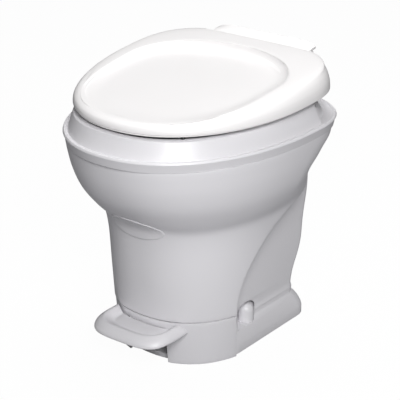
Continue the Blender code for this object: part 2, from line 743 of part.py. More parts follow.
def make_base_foot():
    rings = [foot_ring(share) for share, drawn in FOOT_DRAW_SHARES]
    rings += [curb_ring(FOOT_HEIGHT + TOUCH_GAP), curb_ring(CURB_TOP_Z)]
    foot = loft("base_foot", rings)
    behind = as_tool(solid_outline("foot_front_trim", sweep_outline(2 * TOUCH_GAP),
                                   -OVERALL_WIDTH, OVERALL_WIDTH))
    combine(foot, behind, "INTERSECT")
    inside_rear = CURB_REAR - CURB_WALL
    inside = [corner_ring(CURB_HALF - CURB_WALL, 2 * FOOT_FRONT, inside_rear, CURB_CORNER - CURB_WALL, z)
              for z in (FOOT_HEIGHT, CURB_TOP_Z + CUT_OVERRUN)]
    cut(foot, as_tool(loft("curb_inside", inside)))

    front_y = FOOT_FRONT + FOOT_CORNER + 2 * CUT_OVERRUN
    hollow_rings = []
    for share, drop in ((0.0, CUT_OVERRUN), (0.65, 0.0), (0.80, FOOT_WALL / 4), (1.0, FOOT_WALL)):
        ring = foot_ring(share, FOOT_WALL)
        for point in ring:
            point.y = max(point.y, front_y)
            point.z -= drop
        hollow_rings.append(ring)
    hollow = loft("foot_hollow", hollow_rings)
    boss = as_tool(rod("foot_outlet_boss", SEAL_POCKET_RADIUS + FOOT_WALL,
                       (0.0, OUTLET_Y, -2 * CUT_OVERRUN), OVERALL_HEIGHT, "Z"))
    cut(hollow, boss)
    for side, name in ((-1, "left"), (1, "right")):
        post = niche_form("foot_bolt_post_" + name, side, NICHE_RADIUS + FOOT_WALL, OVERALL_HEIGHT,
                          -2 * CUT_OVERRUN)
        cut(hollow, as_tool(post))
    cut(foot, as_tool(hollow))

    tongue_section = base_section(0.0, BASE_WALL + TONGUE_INSET)
    tongue = loft("foot_tongue", [egg_ring(tongue_section),
                                  egg_ring(tongue_section._replace(z=TONGUE_HEIGHT))])
    cut(tongue, as_tool(box("tongue_rear_cut", (-OVERALL_WIDTH, TONGUE_REAR_Y, -CUT_OVERRUN),
                            (OVERALL_WIDTH, OVERALL_DEPTH, FOOT_HEIGHT))))
    join(foot, as_tool(tongue))
    cut(foot, as_tool(rod("foot_outlet_cut", SPIGOT_RADIUS + TOUCH_GAP,
                          (0.0, OUTLET_Y, -CUT_OVERRUN), FOOT_HEIGHT + 2 * CUT_OVERRUN, "Z")))
    cut(foot, as_tool(rod("foot_seal_pocket", SEAL_POCKET_RADIUS, (0.0, OUTLET_Y, -CUT_OVERRUN),
                          SEAL_POCKET_DEPTH + CUT_OVERRUN, "Z")))
    for side, name in ((-1, "left"), (1, "right")):
        place = (side * BOLT_HALF_SPACING, OUTLET_Y)
        cut(foot, as_tool(niche_form("foot_niche_" + name, side, NICHE_RADIUS, NICHE_TOP_Z,
                                     NICHE_FLOOR_Z)))
        cut(foot, as_tool(rod("foot_bolt_hole_" + name, BOLT_RADIUS + PIN_CLEARANCE,
                              (*place, -CUT_OVERRUN), FOOT_HEIGHT, "Z", 16)))
    return as_part(foot, WHITE_PLASTIC)


# Rear body: recessed U-shaped shell with an arched niche over each floor bolt

def rear_y(z):
    share = (z - FOOT_HEIGHT) / (REAR_TOP_Z - FOOT_HEIGHT)
    return REAR_DEPTH * smooth_value(REAR_PROFILE_SHARES, share)


def make_rear_body():
    low_z = CURB_TOP_Z + TOUCH_GAP
    levels = [(low_z, REAR_FLARE), (low_z + REAR_FLARE_HEIGHT / 2, REAR_FLARE * 0.8),
              (low_z + REAR_FLARE_HEIGHT, 0.0)]
    steps = 8
    for step in range(1, steps + 1):
        levels.append((levels[2][0] + (REAR_TOP_Z - levels[2][0]) * step / steps, 0.0))
    rings = [corner_ring(REAR_HALF + flare, REAR_FRONT, rear_y(z) + flare, REAR_CORNER, z)
             for z, flare in levels]
    body = loft("rear_body", rings, capped=False)
    wall = body.modifiers.new("Wall", "SOLIDIFY")
    wall.thickness = REAR_WALL
    wall.offset = -1.0
    for side, name in ((-1, "left"), (1, "right")):
        shell = niche_form("niche_wall_" + name, side, NICHE_RADIUS + REAR_WALL,
                           NICHE_TOP_Z + REAR_WALL, low_z)
        outer = (side * (REAR_HALF - REAR_WALL / 2), side * OVERALL_WIDTH)
        trim = box("niche_trim_" + name, (min(outer), -OVERALL_DEPTH, -CUT_OVERRUN),
                   (max(outer), OVERALL_DEPTH, OVERALL_HEIGHT))
        cut(shell, as_tool(trim))
        join(body, as_tool(shell))
        cut(body, as_tool(niche_form("niche_cut_" + name, side, NICHE_RADIUS, NICHE_TOP_Z,
                                     low_z - CUT_OVERRUN)))
    cut(body, as_tool(box("rear_front_cut", (-OVERALL_WIDTH, -OVERALL_DEPTH, -CUT_OVERRUN),
                          (OVERALL_WIDTH, REAR_OPEN_Y, OVERALL_HEIGHT))))
    cut(body, as_tool(rod("inlet_hole", INLET_RADIUS + 2 * PIN_CLEARANCE,
                          (inlet_x(), OUTLET_Y + BALL_RADIUS, INLET_Z), OVERALL_DEPTH, "Y", 16)))
    return as_part(body, WHITE_PLASTIC)


# Bowl, waste valve and outlet

HOUSING_TOP_SHARE = 0.865
HOUSING_TOP_Z = VALVE_AXIS_Z + HOUSING_TOP_SHARE * BALL_RADIUS
FLANGE_PLATE = 0.0040
SEAL_LEDGE_WIDTH = 0.0055
THROAT_Z = HOUSING_TOP_Z + TOUCH_GAP
BOWL_TOP_Z = COLLAR_FLOOR_Z - TOUCH_GAP
# Height share from throat to mouth, and how far the section has opened there
BOWL_OPEN_SHARES = ((0.0, 0.0), (0.10, 0.09), (0.25, 0.25), (0.40, 0.45), (0.575, 0.68),
                    (0.78, 0.88), (1.0, 1.0))
BOWL_WALL = 0.0030
BOWL_LIP = 0.0120
BOWL_RINGS = 8


def bowl_section(share, wall=0.0):
    """The bowl's inner section at a share of the height from the throat to the mouth."""
    opening = smooth_value(BOWL_OPEN_SHARES, share)
    return Section(THROAT_RADIUS + (BOWL_MOUTH_HALF - THROAT_RADIUS) * opening + wall,
                   OUTLET_Y - THROAT_RADIUS
                   + (BOWL_MOUTH_FRONT - OUTLET_Y + THROAT_RADIUS) * opening - wall,
                   OUTLET_Y + THROAT_RADIUS
                   + (BOWL_MOUTH_REAR - OUTLET_Y - THROAT_RADIUS) * opening + wall,
                   OUTLET_Y + (BOWL_MOUTH_WIDEST_Y - OUTLET_Y) * opening,
                   THROAT_Z + (BOWL_TOP_Z - THROAT_Z) * share, 0.0,
                   2.0 + (BOWL_MOUTH_POWER - 2.0) * opening, 2.0 + (BOWL_MOUTH_POWER - 2.0) * opening)


def make_inner_bowl():
    shares = [step / (BOWL_RINGS - 1) for step in range(BOWL_RINGS)]
    foot_flange = bowl_section(0.0, HOUSING_FLANGE - THROAT_RADIUS)
    lip = bowl_section(1.0, BOWL_LIP)
    outside = [foot_flange, foot_flange._replace(z=THROAT_Z + FLANGE_PLATE),
               bowl_section(0.0, BOWL_WALL)._replace(z=THROAT_Z + FLANGE_PLATE)]
    outside += [bowl_section(share, BOWL_WALL) for share in shares[1:-1]]
    outside += [bowl_section(1.0, BOWL_WALL)._replace(z=BOWL_TOP_Z - BOWL_WALL),
                lip._replace(z=BOWL_TOP_Z - BOWL_WALL), lip]
    inside = [bowl_section(share) for share in reversed(shares)]
    rings = [egg_ring(section, INNER_RING_POINTS) for section in outside + inside]
    bowl = loft("inner_bowl", rings, looped=True)
    cut(bowl, as_tool(rod("nozzle_hole", NOZZLE_RADIUS + PIN_CLEARANCE,
                          (BREAKER_X, OUTLET_Y, NOZZLE_Z), OVERALL_DEPTH, "Y", 12)))
    return as_part(bowl, BOWL_PLASTIC)


def make_valve_housing():
    cone_low = FOOT_HEIGHT + SPIGOT_FLANGE + 2 * TOUCH_GAP
    spigot_bore = SPIGOT_RADIUS - SPIGOT_WALL
    belly_z = VALVE_AXIS_Z - 0.75 * BALL_RADIUS
    ledge_top = HOUSING_TOP_Z - SEAL_RING_HEIGHT - 2 * TOUCH_GAP
    outer = HOUSING_BORE + HOUSING_WALL
    profile = (
        (HOUSING_FLANGE, HOUSING_TOP_Z),
        (HOUSING_FLANGE, HOUSING_TOP_Z - FLANGE_PLATE),
        (outer, HOUSING_TOP_Z - 2 * FLANGE_PLATE),
        (outer, belly_z),
        (spigot_bore + HOUSING_WALL, cone_low + 3 * FLANGE_PLATE),
        (spigot_bore + HOUSING_WALL, cone_low + FLANGE_PLATE),
        (HOUSING_FOOT_RADIUS, cone_low + FLANGE_PLATE),
        (HOUSING_FOOT_RADIUS, cone_low),
        (spigot_bore, cone_low),
        (spigot_bore, cone_low + 3 * FLANGE_PLATE),
        (HOUSING_BORE, belly_z),
        (HOUSING_BORE, ledge_top - FLANGE_PLATE),
        (HOUSING_BORE - SEAL_LEDGE_WIDTH, ledge_top - FLANGE_PLATE / 2),
        (HOUSING_BORE - SEAL_LEDGE_WIDTH, ledge_top),
        (HOUSING_BORE, ledge_top),
        (HOUSING_BORE, HOUSING_TOP_Z),
    )
    housing = turned("valve_housing", profile, (0.0, OUTLET_Y, 0.0), ring=True)
    across = as_tool(rod("shaft_bearing_cut", SHAFT_RADIUS + SHAFT_CLEARANCE,
                         (-HOUSING_FLANGE - CUT_OVERRUN, OUTLET_Y, VALVE_AXIS_Z),
                         2 * (HOUSING_FLANGE + CUT_OVERRUN), "X"))
    cut(housing, across)
    return as_part(housing, GREY_PLASTIC)


def make_bowl_seal():
    low_z = HOUSING_TOP_Z - SEAL_RING_HEIGHT
    facet_radius = THROAT_RADIUS * math.cos(math.pi / ROUND_STEPS)
    lip_z = VALVE_AXIS_Z + math.sqrt((BALL_RADIUS + TOUCH_GAP) ** 2 - facet_radius ** 2)
    outer = HOUSING_BORE - TOUCH_GAP
    profile = (
        (outer, HOUSING_TOP_Z - TOUCH_GAP),
        (outer, low_z),
        (THROAT_RADIUS * 1.10, low_z),
        (THROAT_RADIUS, lip_z),
        (THROAT_RADIUS, HOUSING_TOP_Z - TOUCH_GAP),
    )
    seal = turned("bowl_seal", profile, (0.0, OUTLET_Y, 0.0), ring=True)
    return as_part(seal, RUBBER)


def make_valve_ball():
    arc_steps = 6
    inside = BALL_RADIUS - BALL_WALL
    profile = []
    for step in range(arc_steps + 1):
        angle = math.pi / 2 * step / arc_steps
        profile.append((BALL_RADIUS * math.sin(angle), BALL_RADIUS * math.cos(angle)))
    for step in range(arc_steps, -1, -1):
        angle = math.pi / 2 * step / arc_steps
        profile.append((inside * math.sin(angle), inside * math.cos(angle)))
    ball = turned("valve_ball", profile, (0.0, OUTLET_Y, VALVE_AXIS_Z))
    cap_z = VALVE_AXIS_Z + BALL_RADIUS * BALL_CAP_SHARE
    for side, name in ((-1, "front"), (1, "rear")):
        reach = sorted((OUTLET_Y + side * BALL_ARM_HALF, OUTLET_Y + side * 2 * BALL_RADIUS))
        window = box("ball_window_" + name, (-2 * BALL_RADIUS, reach[0], 0.0),
                     (2 * BALL_RADIUS, reach[1], cap_z))
        cut(ball, as_tool(window))
    for side, name in ((-1, "left"), (1, "right")):
        boss_end = HOUSING_BORE - 2 * TOUCH_GAP - JOIN_OVERLAP
        boss_start = boss_end - BALL_ARM_HALF
        start = min(side * boss_start, side * boss_end)
        join(ball, as_tool(rod("ball_boss_" + name, BALL_ARM_HALF * 0.95,
                               (start, OUTLET_Y, VALVE_AXIS_Z), BALL_ARM_HALF, "X")))
        socket = sorted((side * (boss_start + JOIN_OVERLAP), side * HOUSING_FLANGE))
        cut(ball, as_tool(rod("ball_socket_" + name, SHAFT_RADIUS + SHAFT_CLEARANCE,
                              (socket[0], OUTLET_Y, VALVE_AXIS_Z), socket[1] - socket[0], "X")))
    return as_part(ball, NYLON)


def shaft_inner_x():
    return HOUSING_BORE - 2 * TOUCH_GAP - BALL_ARM_HALF + TOUCH_GAP


def make_ball_shafts():
    plate_out = GEAR_X + GEAR_THICKNESS / 2 + PLATE_GAP + PLATE_THICKNESS
    drive = rod("ball_drive_shaft", SHAFT_RADIUS, (shaft_inner_x(), OUTLET_Y, VALVE_AXIS_Z),
                plate_out + JOIN_OVERLAP - shaft_inner_x(), "X")
    cartridge_out = HOUSING_BORE + HOUSING_WALL + CARTRIDGE_GAP + CARTRIDGE_DEPTH
    pivot = rod("ball_pivot_shaft", SHAFT_RADIUS,
                (-cartridge_out + SHELL_WALL, OUTLET_Y, VALVE_AXIS_Z),
                cartridge_out - SHELL_WALL - shaft_inner_x(), "X")
    axis = (0.0, OUTLET_Y, VALVE_AXIS_Z)
    return as_part(drive, STEEL, axis), as_part(pivot, STEEL, axis)


CARTRIDGE_RADIUS = 0.0240
CARTRIDGE_DEPTH = 0.0220
CARTRIDGE_GAP = 0.0003


def make_spring_cartridge():
    near_x = HOUSING_BORE + HOUSING_WALL + CARTRIDGE_GAP
    drum = rod("spring_cartridge", CARTRIDGE_RADIUS, (-near_x - CARTRIDGE_DEPTH, OUTLET_Y, VALVE_AXIS_Z),
               CARTRIDGE_DEPTH, "X")
    cut(drum, as_tool(rod("cartridge_bore", SHAFT_RADIUS + SHAFT_CLEARANCE,
                          (-near_x - CARTRIDGE_DEPTH + SHELL_WALL - TOUCH_GAP, OUTLET_Y, VALVE_AXIS_Z),
                          CARTRIDGE_DEPTH, "X")))
    return as_part(drum, BLACK_PLASTIC)


SPIGOT_FLANGE = 0.0030


def make_outlet_spigot():
    top_z = FOOT_HEIGHT + TOUCH_GAP + SPIGOT_FLANGE
    bore = SPIGOT_RADIUS - SPIGOT_WALL
    profile = (
        (HOUSING_FOOT_RADIUS, top_z),
        (HOUSING_FOOT_RADIUS, FOOT_HEIGHT + TOUCH_GAP),
        (SPIGOT_RADIUS - TOUCH_GAP, FOOT_HEIGHT + TOUCH_GAP),
        (SPIGOT_RADIUS - TOUCH_GAP, TOUCH_GAP),
        (bore, TOUCH_GAP),
        (bore, top_z),
    )
    spigot = turned("outlet_spigot", profile, (0.0, OUTLET_Y, 0.0), ring=True)
    return as_part(spigot, GREY_PLASTIC)


def make_floor_seal():
    low, high = 2 * TOUCH_GAP, SEAL_POCKET_DEPTH - TOUCH_GAP
    outer = SEAL_POCKET_RADIUS - TOUCH_GAP - SPIGOT_WALL / 2
    profile = (
        (outer, high),
        (outer, low + SPIGOT_WALL),
        (outer - SPIGOT_WALL, low),
        (SPIGOT_RADIUS + TOUCH_GAP, low),
        (SPIGOT_RADIUS + TOUCH_GAP, high),
    )
    seal = turned("floor_seal", profile, (0.0, OUTLET_Y, 0.0), ring=True)
    return as_part(seal, RUBBER)


# Gear drive

PITCH_RADIUS_PINION = GEAR_MODULE * PINION_TEETH / 2
PITCH_RADIUS_SECTOR = GEAR_MODULE * SECTOR_TEETH_ROUND / 2
RACK_PITCH_Z = PEDAL_AXIS_Z + PITCH_RADIUS_SECTOR
TOOTH_PITCH = math.pi * GEAR_MODULE
RACK_TRAVEL = PITCH_RADIUS_SECTOR * PEDAL_TRAVEL


def involute(angle):
    return math.tan(angle) - angle


def tooth_half_angle(radius, teeth):
    """Half of a tooth's angle at a radius, with the backlash taken off."""
    pitch_radius = GEAR_MODULE * teeth / 2
    base_radius = pitch_radius * math.cos(PRESSURE_ANGLE)
    at = math.acos(min(1.0, base_radius / max(radius, base_radius)))
    return (math.pi / (2 * teeth) + involute(PRESSURE_ANGLE) - involute(at)
            - BACKLASH / (2 * pitch_radius))


def gear_arc(teeth, first, count, phase):
    """(angle, radius) points over teeth centred at phase + step * tooth angle."""
    pitch_radius = GEAR_MODULE * teeth / 2
    tip = pitch_radius + GEAR_MODULE * TOOTH_HEIGHT_SHARE
    root = pitch_radius - GEAR_MODULE * ROOT_DEPTH_SHARE
    radii = (root, pitch_radius, tip)
    points = []
    for step in range(first, first + count):
        middle = phase + 2 * math.pi * step / teeth
        for radius in radii:
            points.append((middle - tooth_half_angle(radius, teeth), radius))
        for radius in reversed(radii):
            points.append((middle + tooth_half_angle(radius, teeth), radius))
    return points


def polar(points, centre_y, centre_z):
    return [(centre_y + radius * math.cos(angle), centre_z + radius * math.sin(angle))
            for angle, radius in points]


def circle_outline(centre_y, centre_z, radius, steps=ROUND_STEPS):
    return polar([(2 * math.pi * step / steps, radius) for step in range(steps)], centre_y, centre_z)


def make_ball_pinion():
    phase = math.pi / 2 + math.pi / PINION_TEETH
    outline = polar(gear_arc(PINION_TEETH, 0, PINION_TEETH, phase), OUTLET_Y, VALVE_AXIS_Z)
    bore = circle_outline(OUTLET_Y, VALVE_AXIS_Z, SHAFT_RADIUS + SHAFT_CLEARANCE)
    pinion = flat_outline("ball_pinion", (outline, bore), GEAR_X, GEAR_THICKNESS,
                          (OUTLET_Y, VALVE_AXIS_Z))
    return as_part(pinion, NYLON)


def make_sector_gear():
    """Toothed sector: its top meets the rack, whose teeth are counted from the pinion."""
    rack_offset = (OUTLET_Y - PEDAL_AXIS_Y) % TOOTH_PITCH
    space_angle = math.pi / 2 - rack_offset / PITCH_RADIUS_SECTOR
    tooth_angle = 2 * math.pi / SECTOR_TEETH_ROUND
    phase = space_angle + tooth_angle / 2
    ahead = SECTOR_TEETH // 3
    first = -(SECTOR_TEETH - ahead)
    arc = gear_arc(SECTOR_TEETH_ROUND, first, SECTOR_TEETH, phase)
    rim_inner = PITCH_RADIUS_SECTOR - 5 * GEAR_MODULE
    web_half = 1.1 * HUB_RADIUS
    start_angle, end_angle = arc[0][0], arc[-1][0]
    middle_angle = (start_angle + end_angle) / 2

    def spoke_point(side, radius):
        return (middle_angle + side * math.asin(min(0.9, web_half / radius)), radius)

    arc.append((end_angle, rim_inner))
    arc.append(spoke_point(1, rim_inner))
    arc.append(spoke_point(1, 2 * HUB_RADIUS))
    hub_steps = 10
    hub_start = middle_angle + math.radians(60.0)
    for step in range(hub_steps + 1):
        arc.append((hub_start + math.radians(240.0) * step / hub_steps, 1.5 * HUB_RADIUS))
    arc.append(spoke_point(-1, 2 * HUB_RADIUS))
    arc.append(spoke_point(-1, rim_inner))
    arc.append((start_angle, rim_inner))
    outline = polar(arc, PEDAL_AXIS_Y, PEDAL_AXIS_Z)
    bore = circle_outline(PEDAL_AXIS_Y, PEDAL_AXIS_Z, PIN_RADIUS + PIN_CLEARANCE)
    sector = flat_outline("pedal_sector_gear", (outline, bore), GEAR_X, GEAR_THICKNESS,
                          (PEDAL_AXIS_Y, PEDAL_AXIS_Z))
    return as_part(sector, NYLON)


def rack_teeth(first, count):
    """Teeth that point down, listed towards +Y, centred on whole pitches from the pinion."""
    tip_z = RACK_PITCH_Z - GEAR_MODULE * TOOTH_HEIGHT_SHARE
    root_z = RACK_PITCH_Z + GEAR_MODULE * ROOT_DEPTH_SHARE
    half = TOOTH_PITCH / 4 - BACKLASH / 2
    lean = math.tan(PRESSURE_ANGLE)
    points = []
    for step in range(first, first + count):
        middle = OUTLET_Y + step * TOOTH_PITCH
        points.append((middle - half - lean * (root_z - RACK_PITCH_Z), root_z))
        points.append((middle - half + lean * (RACK_PITCH_Z - tip_z), tip_z))
        points.append((middle + half - lean * (RACK_PITCH_Z - tip_z), tip_z))
        points.append((middle + half + lean * (root_z - RACK_PITCH_Z), root_z))
    return points


RAMP_GAP = 0.0010
PLUNGER_RADIUS = 0.0030
VALVE_Y = 0.1120
RACK_TOP_Z = RACK_PITCH_Z + GEAR_MODULE * ROOT_DEPTH_SHARE + RACK_BAR_HEIGHT


def make_drive_rack():
    travel_teeth = math.ceil(RACK_TRAVEL / TOOTH_PITCH)
    to_sector = math.floor((OUTLET_Y - PEDAL_AXIS_Y) / TOOTH_PITCH)
    root_z = RACK_PITCH_Z + GEAR_MODULE * ROOT_DEPTH_SHARE
    outline = rack_teeth(-to_sector - 2, travel_teeth + 4)
    outline += rack_teeth(-2, travel_teeth + 4)
    front_y = outline[0][0] - TOOTH_PITCH
    ramp_start = VALVE_Y + PLUNGER_RADIUS + RAMP_GAP
    ramp_end = ramp_start + RACK_TRAVEL
    ramp_top = RACK_TOP_Z + RAMP_SLOPE_SHARE * RACK_TRAVEL
    rear_y_end = ramp_end + 2 * PLUNGER_RADIUS
    outline = [(front_y, root_z)] + outline + [
        (rear_y_end, root_z), (rear_y_end, ramp_top), (ramp_end, ramp_top),
        (ramp_start, RACK_TOP_Z), (front_y, RACK_TOP_Z)]
    rack = flat_outline("drive_rack", (outline,), GEAR_X, GEAR_THICKNESS,
                        (front_y, RACK_PITCH_Z))
    return as_part(rack, NYLON)


PLATE_X = GEAR_X + GEAR_THICKNESS / 2 + PLATE_GAP + PLATE_THICKNESS / 2
PLATE_FRONT_REACH = 0.0170
PLATE_FRONT_Y = PEDAL_AXIS_Y - PLATE_FRONT_REACH
LEG_WIDTH = 0.0340
PLATE_REAR_REACH = 0.0530
PLATE_REAR_Y = OUTLET_Y + PLATE_REAR_REACH
PLATE_EAR_Z = 0.2360
REAR_LEG_WIDTH = 0.0200


def make_mechanism_plate():
    front_leg_rear = PLATE_FRONT_Y + LEG_WIDTH
    rear_leg_front = PLATE_REAR_Y - REAR_LEG_WIDTH
    ear_rear = VALVE_Y + VALVE_BODY_DEPTH / 2
    plate_top = RACK_TOP_Z + HUB_RADIUS
    bridge_z = NICHE_TOP_Z + REAR_WALL + 2 * PLATE_THICKNESS
    outline = (
        (PLATE_FRONT_Y, TONGUE_HEIGHT + TOUCH_GAP),
        (front_leg_rear, TONGUE_HEIGHT + TOUCH_GAP),
        (front_leg_rear, bridge_z),
        (rear_leg_front, bridge_z),
        (rear_leg_front, FOOT_HEIGHT + TOUCH_GAP),
        (PLATE_REAR_Y, FOOT_HEIGHT + TOUCH_GAP),
        (ear_rear, bridge_z),
        (ear_rear, PLATE_EAR_Z),
        (ear_rear - VALVE_BODY_DEPTH, PLATE_EAR_Z),
        (ear_rear - VALVE_BODY_DEPTH - HUB_RADIUS, plate_top),
        (PLATE_FRONT_Y, plate_top),
    )
    holes = (circle_outline(PEDAL_AXIS_Y, PEDAL_AXIS_Z, PIN_RADIUS + PIN_CLEARANCE),
             circle_outline(OUTLET_Y, VALVE_AXIS_Z, SHAFT_RADIUS + SHAFT_CLEARANCE))
    plate = flat_outline("mechanism_plate", (outline, *holes), PLATE_X, PLATE_THICKNESS)
    return as_part(plate, GREY_PLASTIC)


GUIDE_DEPTH = 0.0100
GUIDE_LIP = 0.0030
GUIDE_FRONT_Y = -0.0040
GUIDE_REAR_Y = 0.0810


def make_rack_guides():
    """Guides for the bar: the front one has a shelf, the rear one is open to the pinion below."""
    made = []
    near_x = GEAR_X - GEAR_THICKNESS / 2
    plate_face = PLATE_X - PLATE_THICKNESS / 2 - TOUCH_GAP
    shelf_z = RACK_PITCH_Z + GEAR_MODULE * ROOT_DEPTH_SHARE
    for name, middle_y, slot_low in (("front", GUIDE_FRONT_Y, shelf_z - TOUCH_GAP),
                                     ("rear", GUIDE_REAR_Y, shelf_z - CUT_OVERRUN)):
        low_y, high_y = middle_y - GUIDE_DEPTH / 2, middle_y + GUIDE_DEPTH / 2
        guide = box("rack_guide_" + name, (near_x - GUIDE_LIP, low_y, shelf_z - GUIDE_LIP),
                    (plate_face, high_y, RACK_TOP_Z + GUIDE_LIP))
        slot = box("guide_slot_" + name, (near_x - TOUCH_GAP, low_y - CUT_OVERRUN, slot_low),
                   (GEAR_X + GEAR_THICKNESS / 2 + TOUCH_GAP, high_y + CUT_OVERRUN,
                    RACK_TOP_Z + TOUCH_GAP))
        cut(guide, as_tool(slot))
        made.append(as_part(guide, BLACK_PLASTIC))
    return made


# Pedal, its pin and bracket

# Inset share of the rim, and place between the edge's and the crest's heights, outside to inside
PEDAL_RIM_SHARES = ((0.03, 0.0), (0.0, 0.16), (0.10, 0.42), (0.36, 0.72), (0.75, 0.96), (1.0, 1.0),
                    (1.28, 0.86))


def pedal_ring(rim_share, rise_share, floor=None):
    """One level of the tray: a squarish oval whose sides rise into wings."""
    half = PEDAL_HALF - PEDAL_WING_WIDTH * rim_share
    front = PEDAL_FRONT + PEDAL_RIM_WIDTH * rim_share
    ring = []
    for step in range(PEDAL_POINTS):
        angle = 2 * math.pi * step / PEDAL_POINTS
        across, along = math.cos(angle), math.sin(angle)
        power = PEDAL_POWER if along < 0 else 2 * PEDAL_POWER
        reach = (PEDAL_MIDDLE_Y - front) if along < 0 else (PEDAL_REAR_Y - PEDAL_MIDDLE_Y)
        x = half * math.copysign(abs(across) ** (2 / power), across)
        y = PEDAL_MIDDLE_Y + reach * math.copysign(abs(along) ** (2 / power), along)
        side = min(1.0, max(0.0, (y - PEDAL_FRONT) / PEDAL_WING_RUN))
        side = side * side * (3 - 2 * side)
        if floor is None:
            edge = PEDAL_EDGE_Z + PEDAL_EDGE_LIFT * side
            z = edge + (PEDAL_CREST_Z + (PEDAL_WING_Z - PEDAL_CREST_Z) * side - edge) * rise_share
        else:
            z = floor + PEDAL_BASIN_SLOPE * (y - PEDAL_FRONT - PEDAL_RIM_WIDTH)
        ring.append(Vector((x, y, z)))
    return ring


def make_pedal():
    under = [pedal_ring(PEDAL_MIDDLE_SHARE, 0.0, PEDAL_FLOOR_Z - PEDAL_PLATE),
             pedal_ring(1.5, 0.0, PEDAL_FLOOR_Z - PEDAL_PLATE), pedal_ring(0.5, 0.25)]
    rim = [pedal_ring(*row) for row in PEDAL_RIM_SHARES]
    basin = [pedal_ring(1.9, 0.0, PEDAL_FLOOR_Z), pedal_ring(PEDAL_MIDDLE_SHARE, 0.0, PEDAL_FLOOR_Z)]
    tray = loft("pedal", under + rim + basin)
    behind = loft("pedal_rear_cut", [
        egg_ring(base_section(share, -PEDAL_GAP)) for share in (0.3, 1.2)])
    cut(tray, as_tool(behind))
    arm = solid_outline("pedal_arm", (
        (STOP_Y, PEDAL_ARM_TOP_Z),
        (PEDAL_AXIS_Y, PEDAL_ARM_TOP_Z),
        (PEDAL_AXIS_Y, PEDAL_ARM_TOP_Z - PEDAL_ARM_HEIGHT),
        (BASE_TOP_FRONT, PEDAL_ARM_TOP_Z - PEDAL_ARM_HEIGHT),
        (STOP_Y, PEDAL_ARM_TOP_Z - PEDAL_ARM_HEIGHT * 0.8),
    ), -PEDAL_ARM_HALF, PEDAL_ARM_HALF)
    join(tray, as_tool(arm))
    hub_right = GEAR_X - GEAR_THICKNESS / 2 - TOUCH_GAP
    hub_left = -PEDAL_ARM_HALF - HUB_RADIUS
    join(tray, as_tool(rod("pedal_hub", HUB_RADIUS, (hub_left, PEDAL_AXIS_Y, PEDAL_AXIS_Z),
                           hub_right - hub_left, "X")))
    cut(tray, as_tool(rod("pedal_bore", PIN_RADIUS + PIN_CLEARANCE,
                          (hub_left - CUT_OVERRUN, PEDAL_AXIS_Y, PEDAL_AXIS_Z),
                          hub_right - hub_left + 2 * CUT_OVERRUN, "X")))
    return as_part(tray, WHITE_PLASTIC, (0.0, PEDAL_AXIS_Y, PEDAL_AXIS_Z))


def bracket_x():
    return -PEDAL_ARM_HALF - HUB_RADIUS - TOUCH_GAP


def make_pedal_bracket():
    half = 1.3 * HUB_RADIUS
    cap = polar([(math.pi * step / 8, half) for step in range(9)], PEDAL_AXIS_Y, PEDAL_AXIS_Z)
    outline = cap + [(PEDAL_AXIS_Y - half, TONGUE_HEIGHT + TOUCH_GAP),
                     (PEDAL_AXIS_Y + half, TONGUE_HEIGHT + TOUCH_GAP)]
    hole = circle_outline(PEDAL_AXIS_Y, PEDAL_AXIS_Z, PIN_RADIUS + PIN_CLEARANCE)
    bracket = flat_outline("pedal_bracket", (outline, hole), bracket_x() - PLATE_THICKNESS / 2,
                           PLATE_THICKNESS)
    return as_part(bracket, GREY_PLASTIC)


def make_pedal_pin():
    left = bracket_x() - PLATE_THICKNESS - JOIN_OVERLAP
    right = PLATE_X + PLATE_THICKNESS / 2 + JOIN_OVERLAP
    pin = rod("pedal_pin", PIN_RADIUS, (left, PEDAL_AXIS_Y, PEDAL_AXIS_Z), right - left, "X")
    return as_part(pin, STEEL)


def make_pedal_stop():
    """Rubber foot under the tray that comes down near the floor."""
    top_z = PEDAL_ARM_TOP_Z - PEDAL_ARM_HEIGHT - TOUCH_GAP
    stop = rod("pedal_stop", STOP_RADIUS * 0.8, (0.0, STOP_Y + 2 * STOP_RADIUS, STOP_LOW_Z),
               top_z - STOP_LOW_Z, "Z", 16, STOP_RADIUS)
    return as_part(stop, RUBBER, (0.0, PEDAL_AXIS_Y, PEDAL_AXIS_Z))


# Water valve, vacuum breaker, hoses and nozzle

VALVE_BODY_WIDTH = 0.0190
VALVE_BODY_DEPTH = 0.0280
VALVE_BODY_HEIGHT = 0.0300
VALVE_BODY_EDGE = 0.0015
VALVE_BODY_Z = 0.2030
PLUNGER_REACH = 0.0150
INLET_Z = 0.2180
INLET_RADIUS = 0.0080
BREAKER_SIDE_SHARE = 45 / 148
BREAKER_X = BOWL_MOUTH_HALF * BREAKER_SIDE_SHARE
BREAKER_REAR_INSET = 0.0510
BREAKER_DROP = 0.0720
BREAKER_Y = SHELL_REAR - BREAKER_REAR_INSET
BREAKER_Z = FLANGE_Z - BREAKER_DROP
BREAKER_RADIUS = 0.0150
BREAKER_HEIGHT = 0.0450
NOZZLE_DROP = 0.0480
NOZZLE_Z = FLANGE_Z - NOZZLE_DROP
NOZZLE_WALL_SET = 0.0110
NOZZLE_RADIUS = 0.0055
HOSE_RADIUS = 0.0055


def inlet_x():
    return valve_body_x()[0] + VALVE_BODY_WIDTH / 2


def valve_body_x():
    """The valve body's two faces: the outer one lies on the mechanism plate."""
    outer = PLATE_X - PLATE_THICKNESS / 2 - TOUCH_GAP
    return outer - VALVE_BODY_WIDTH, outer


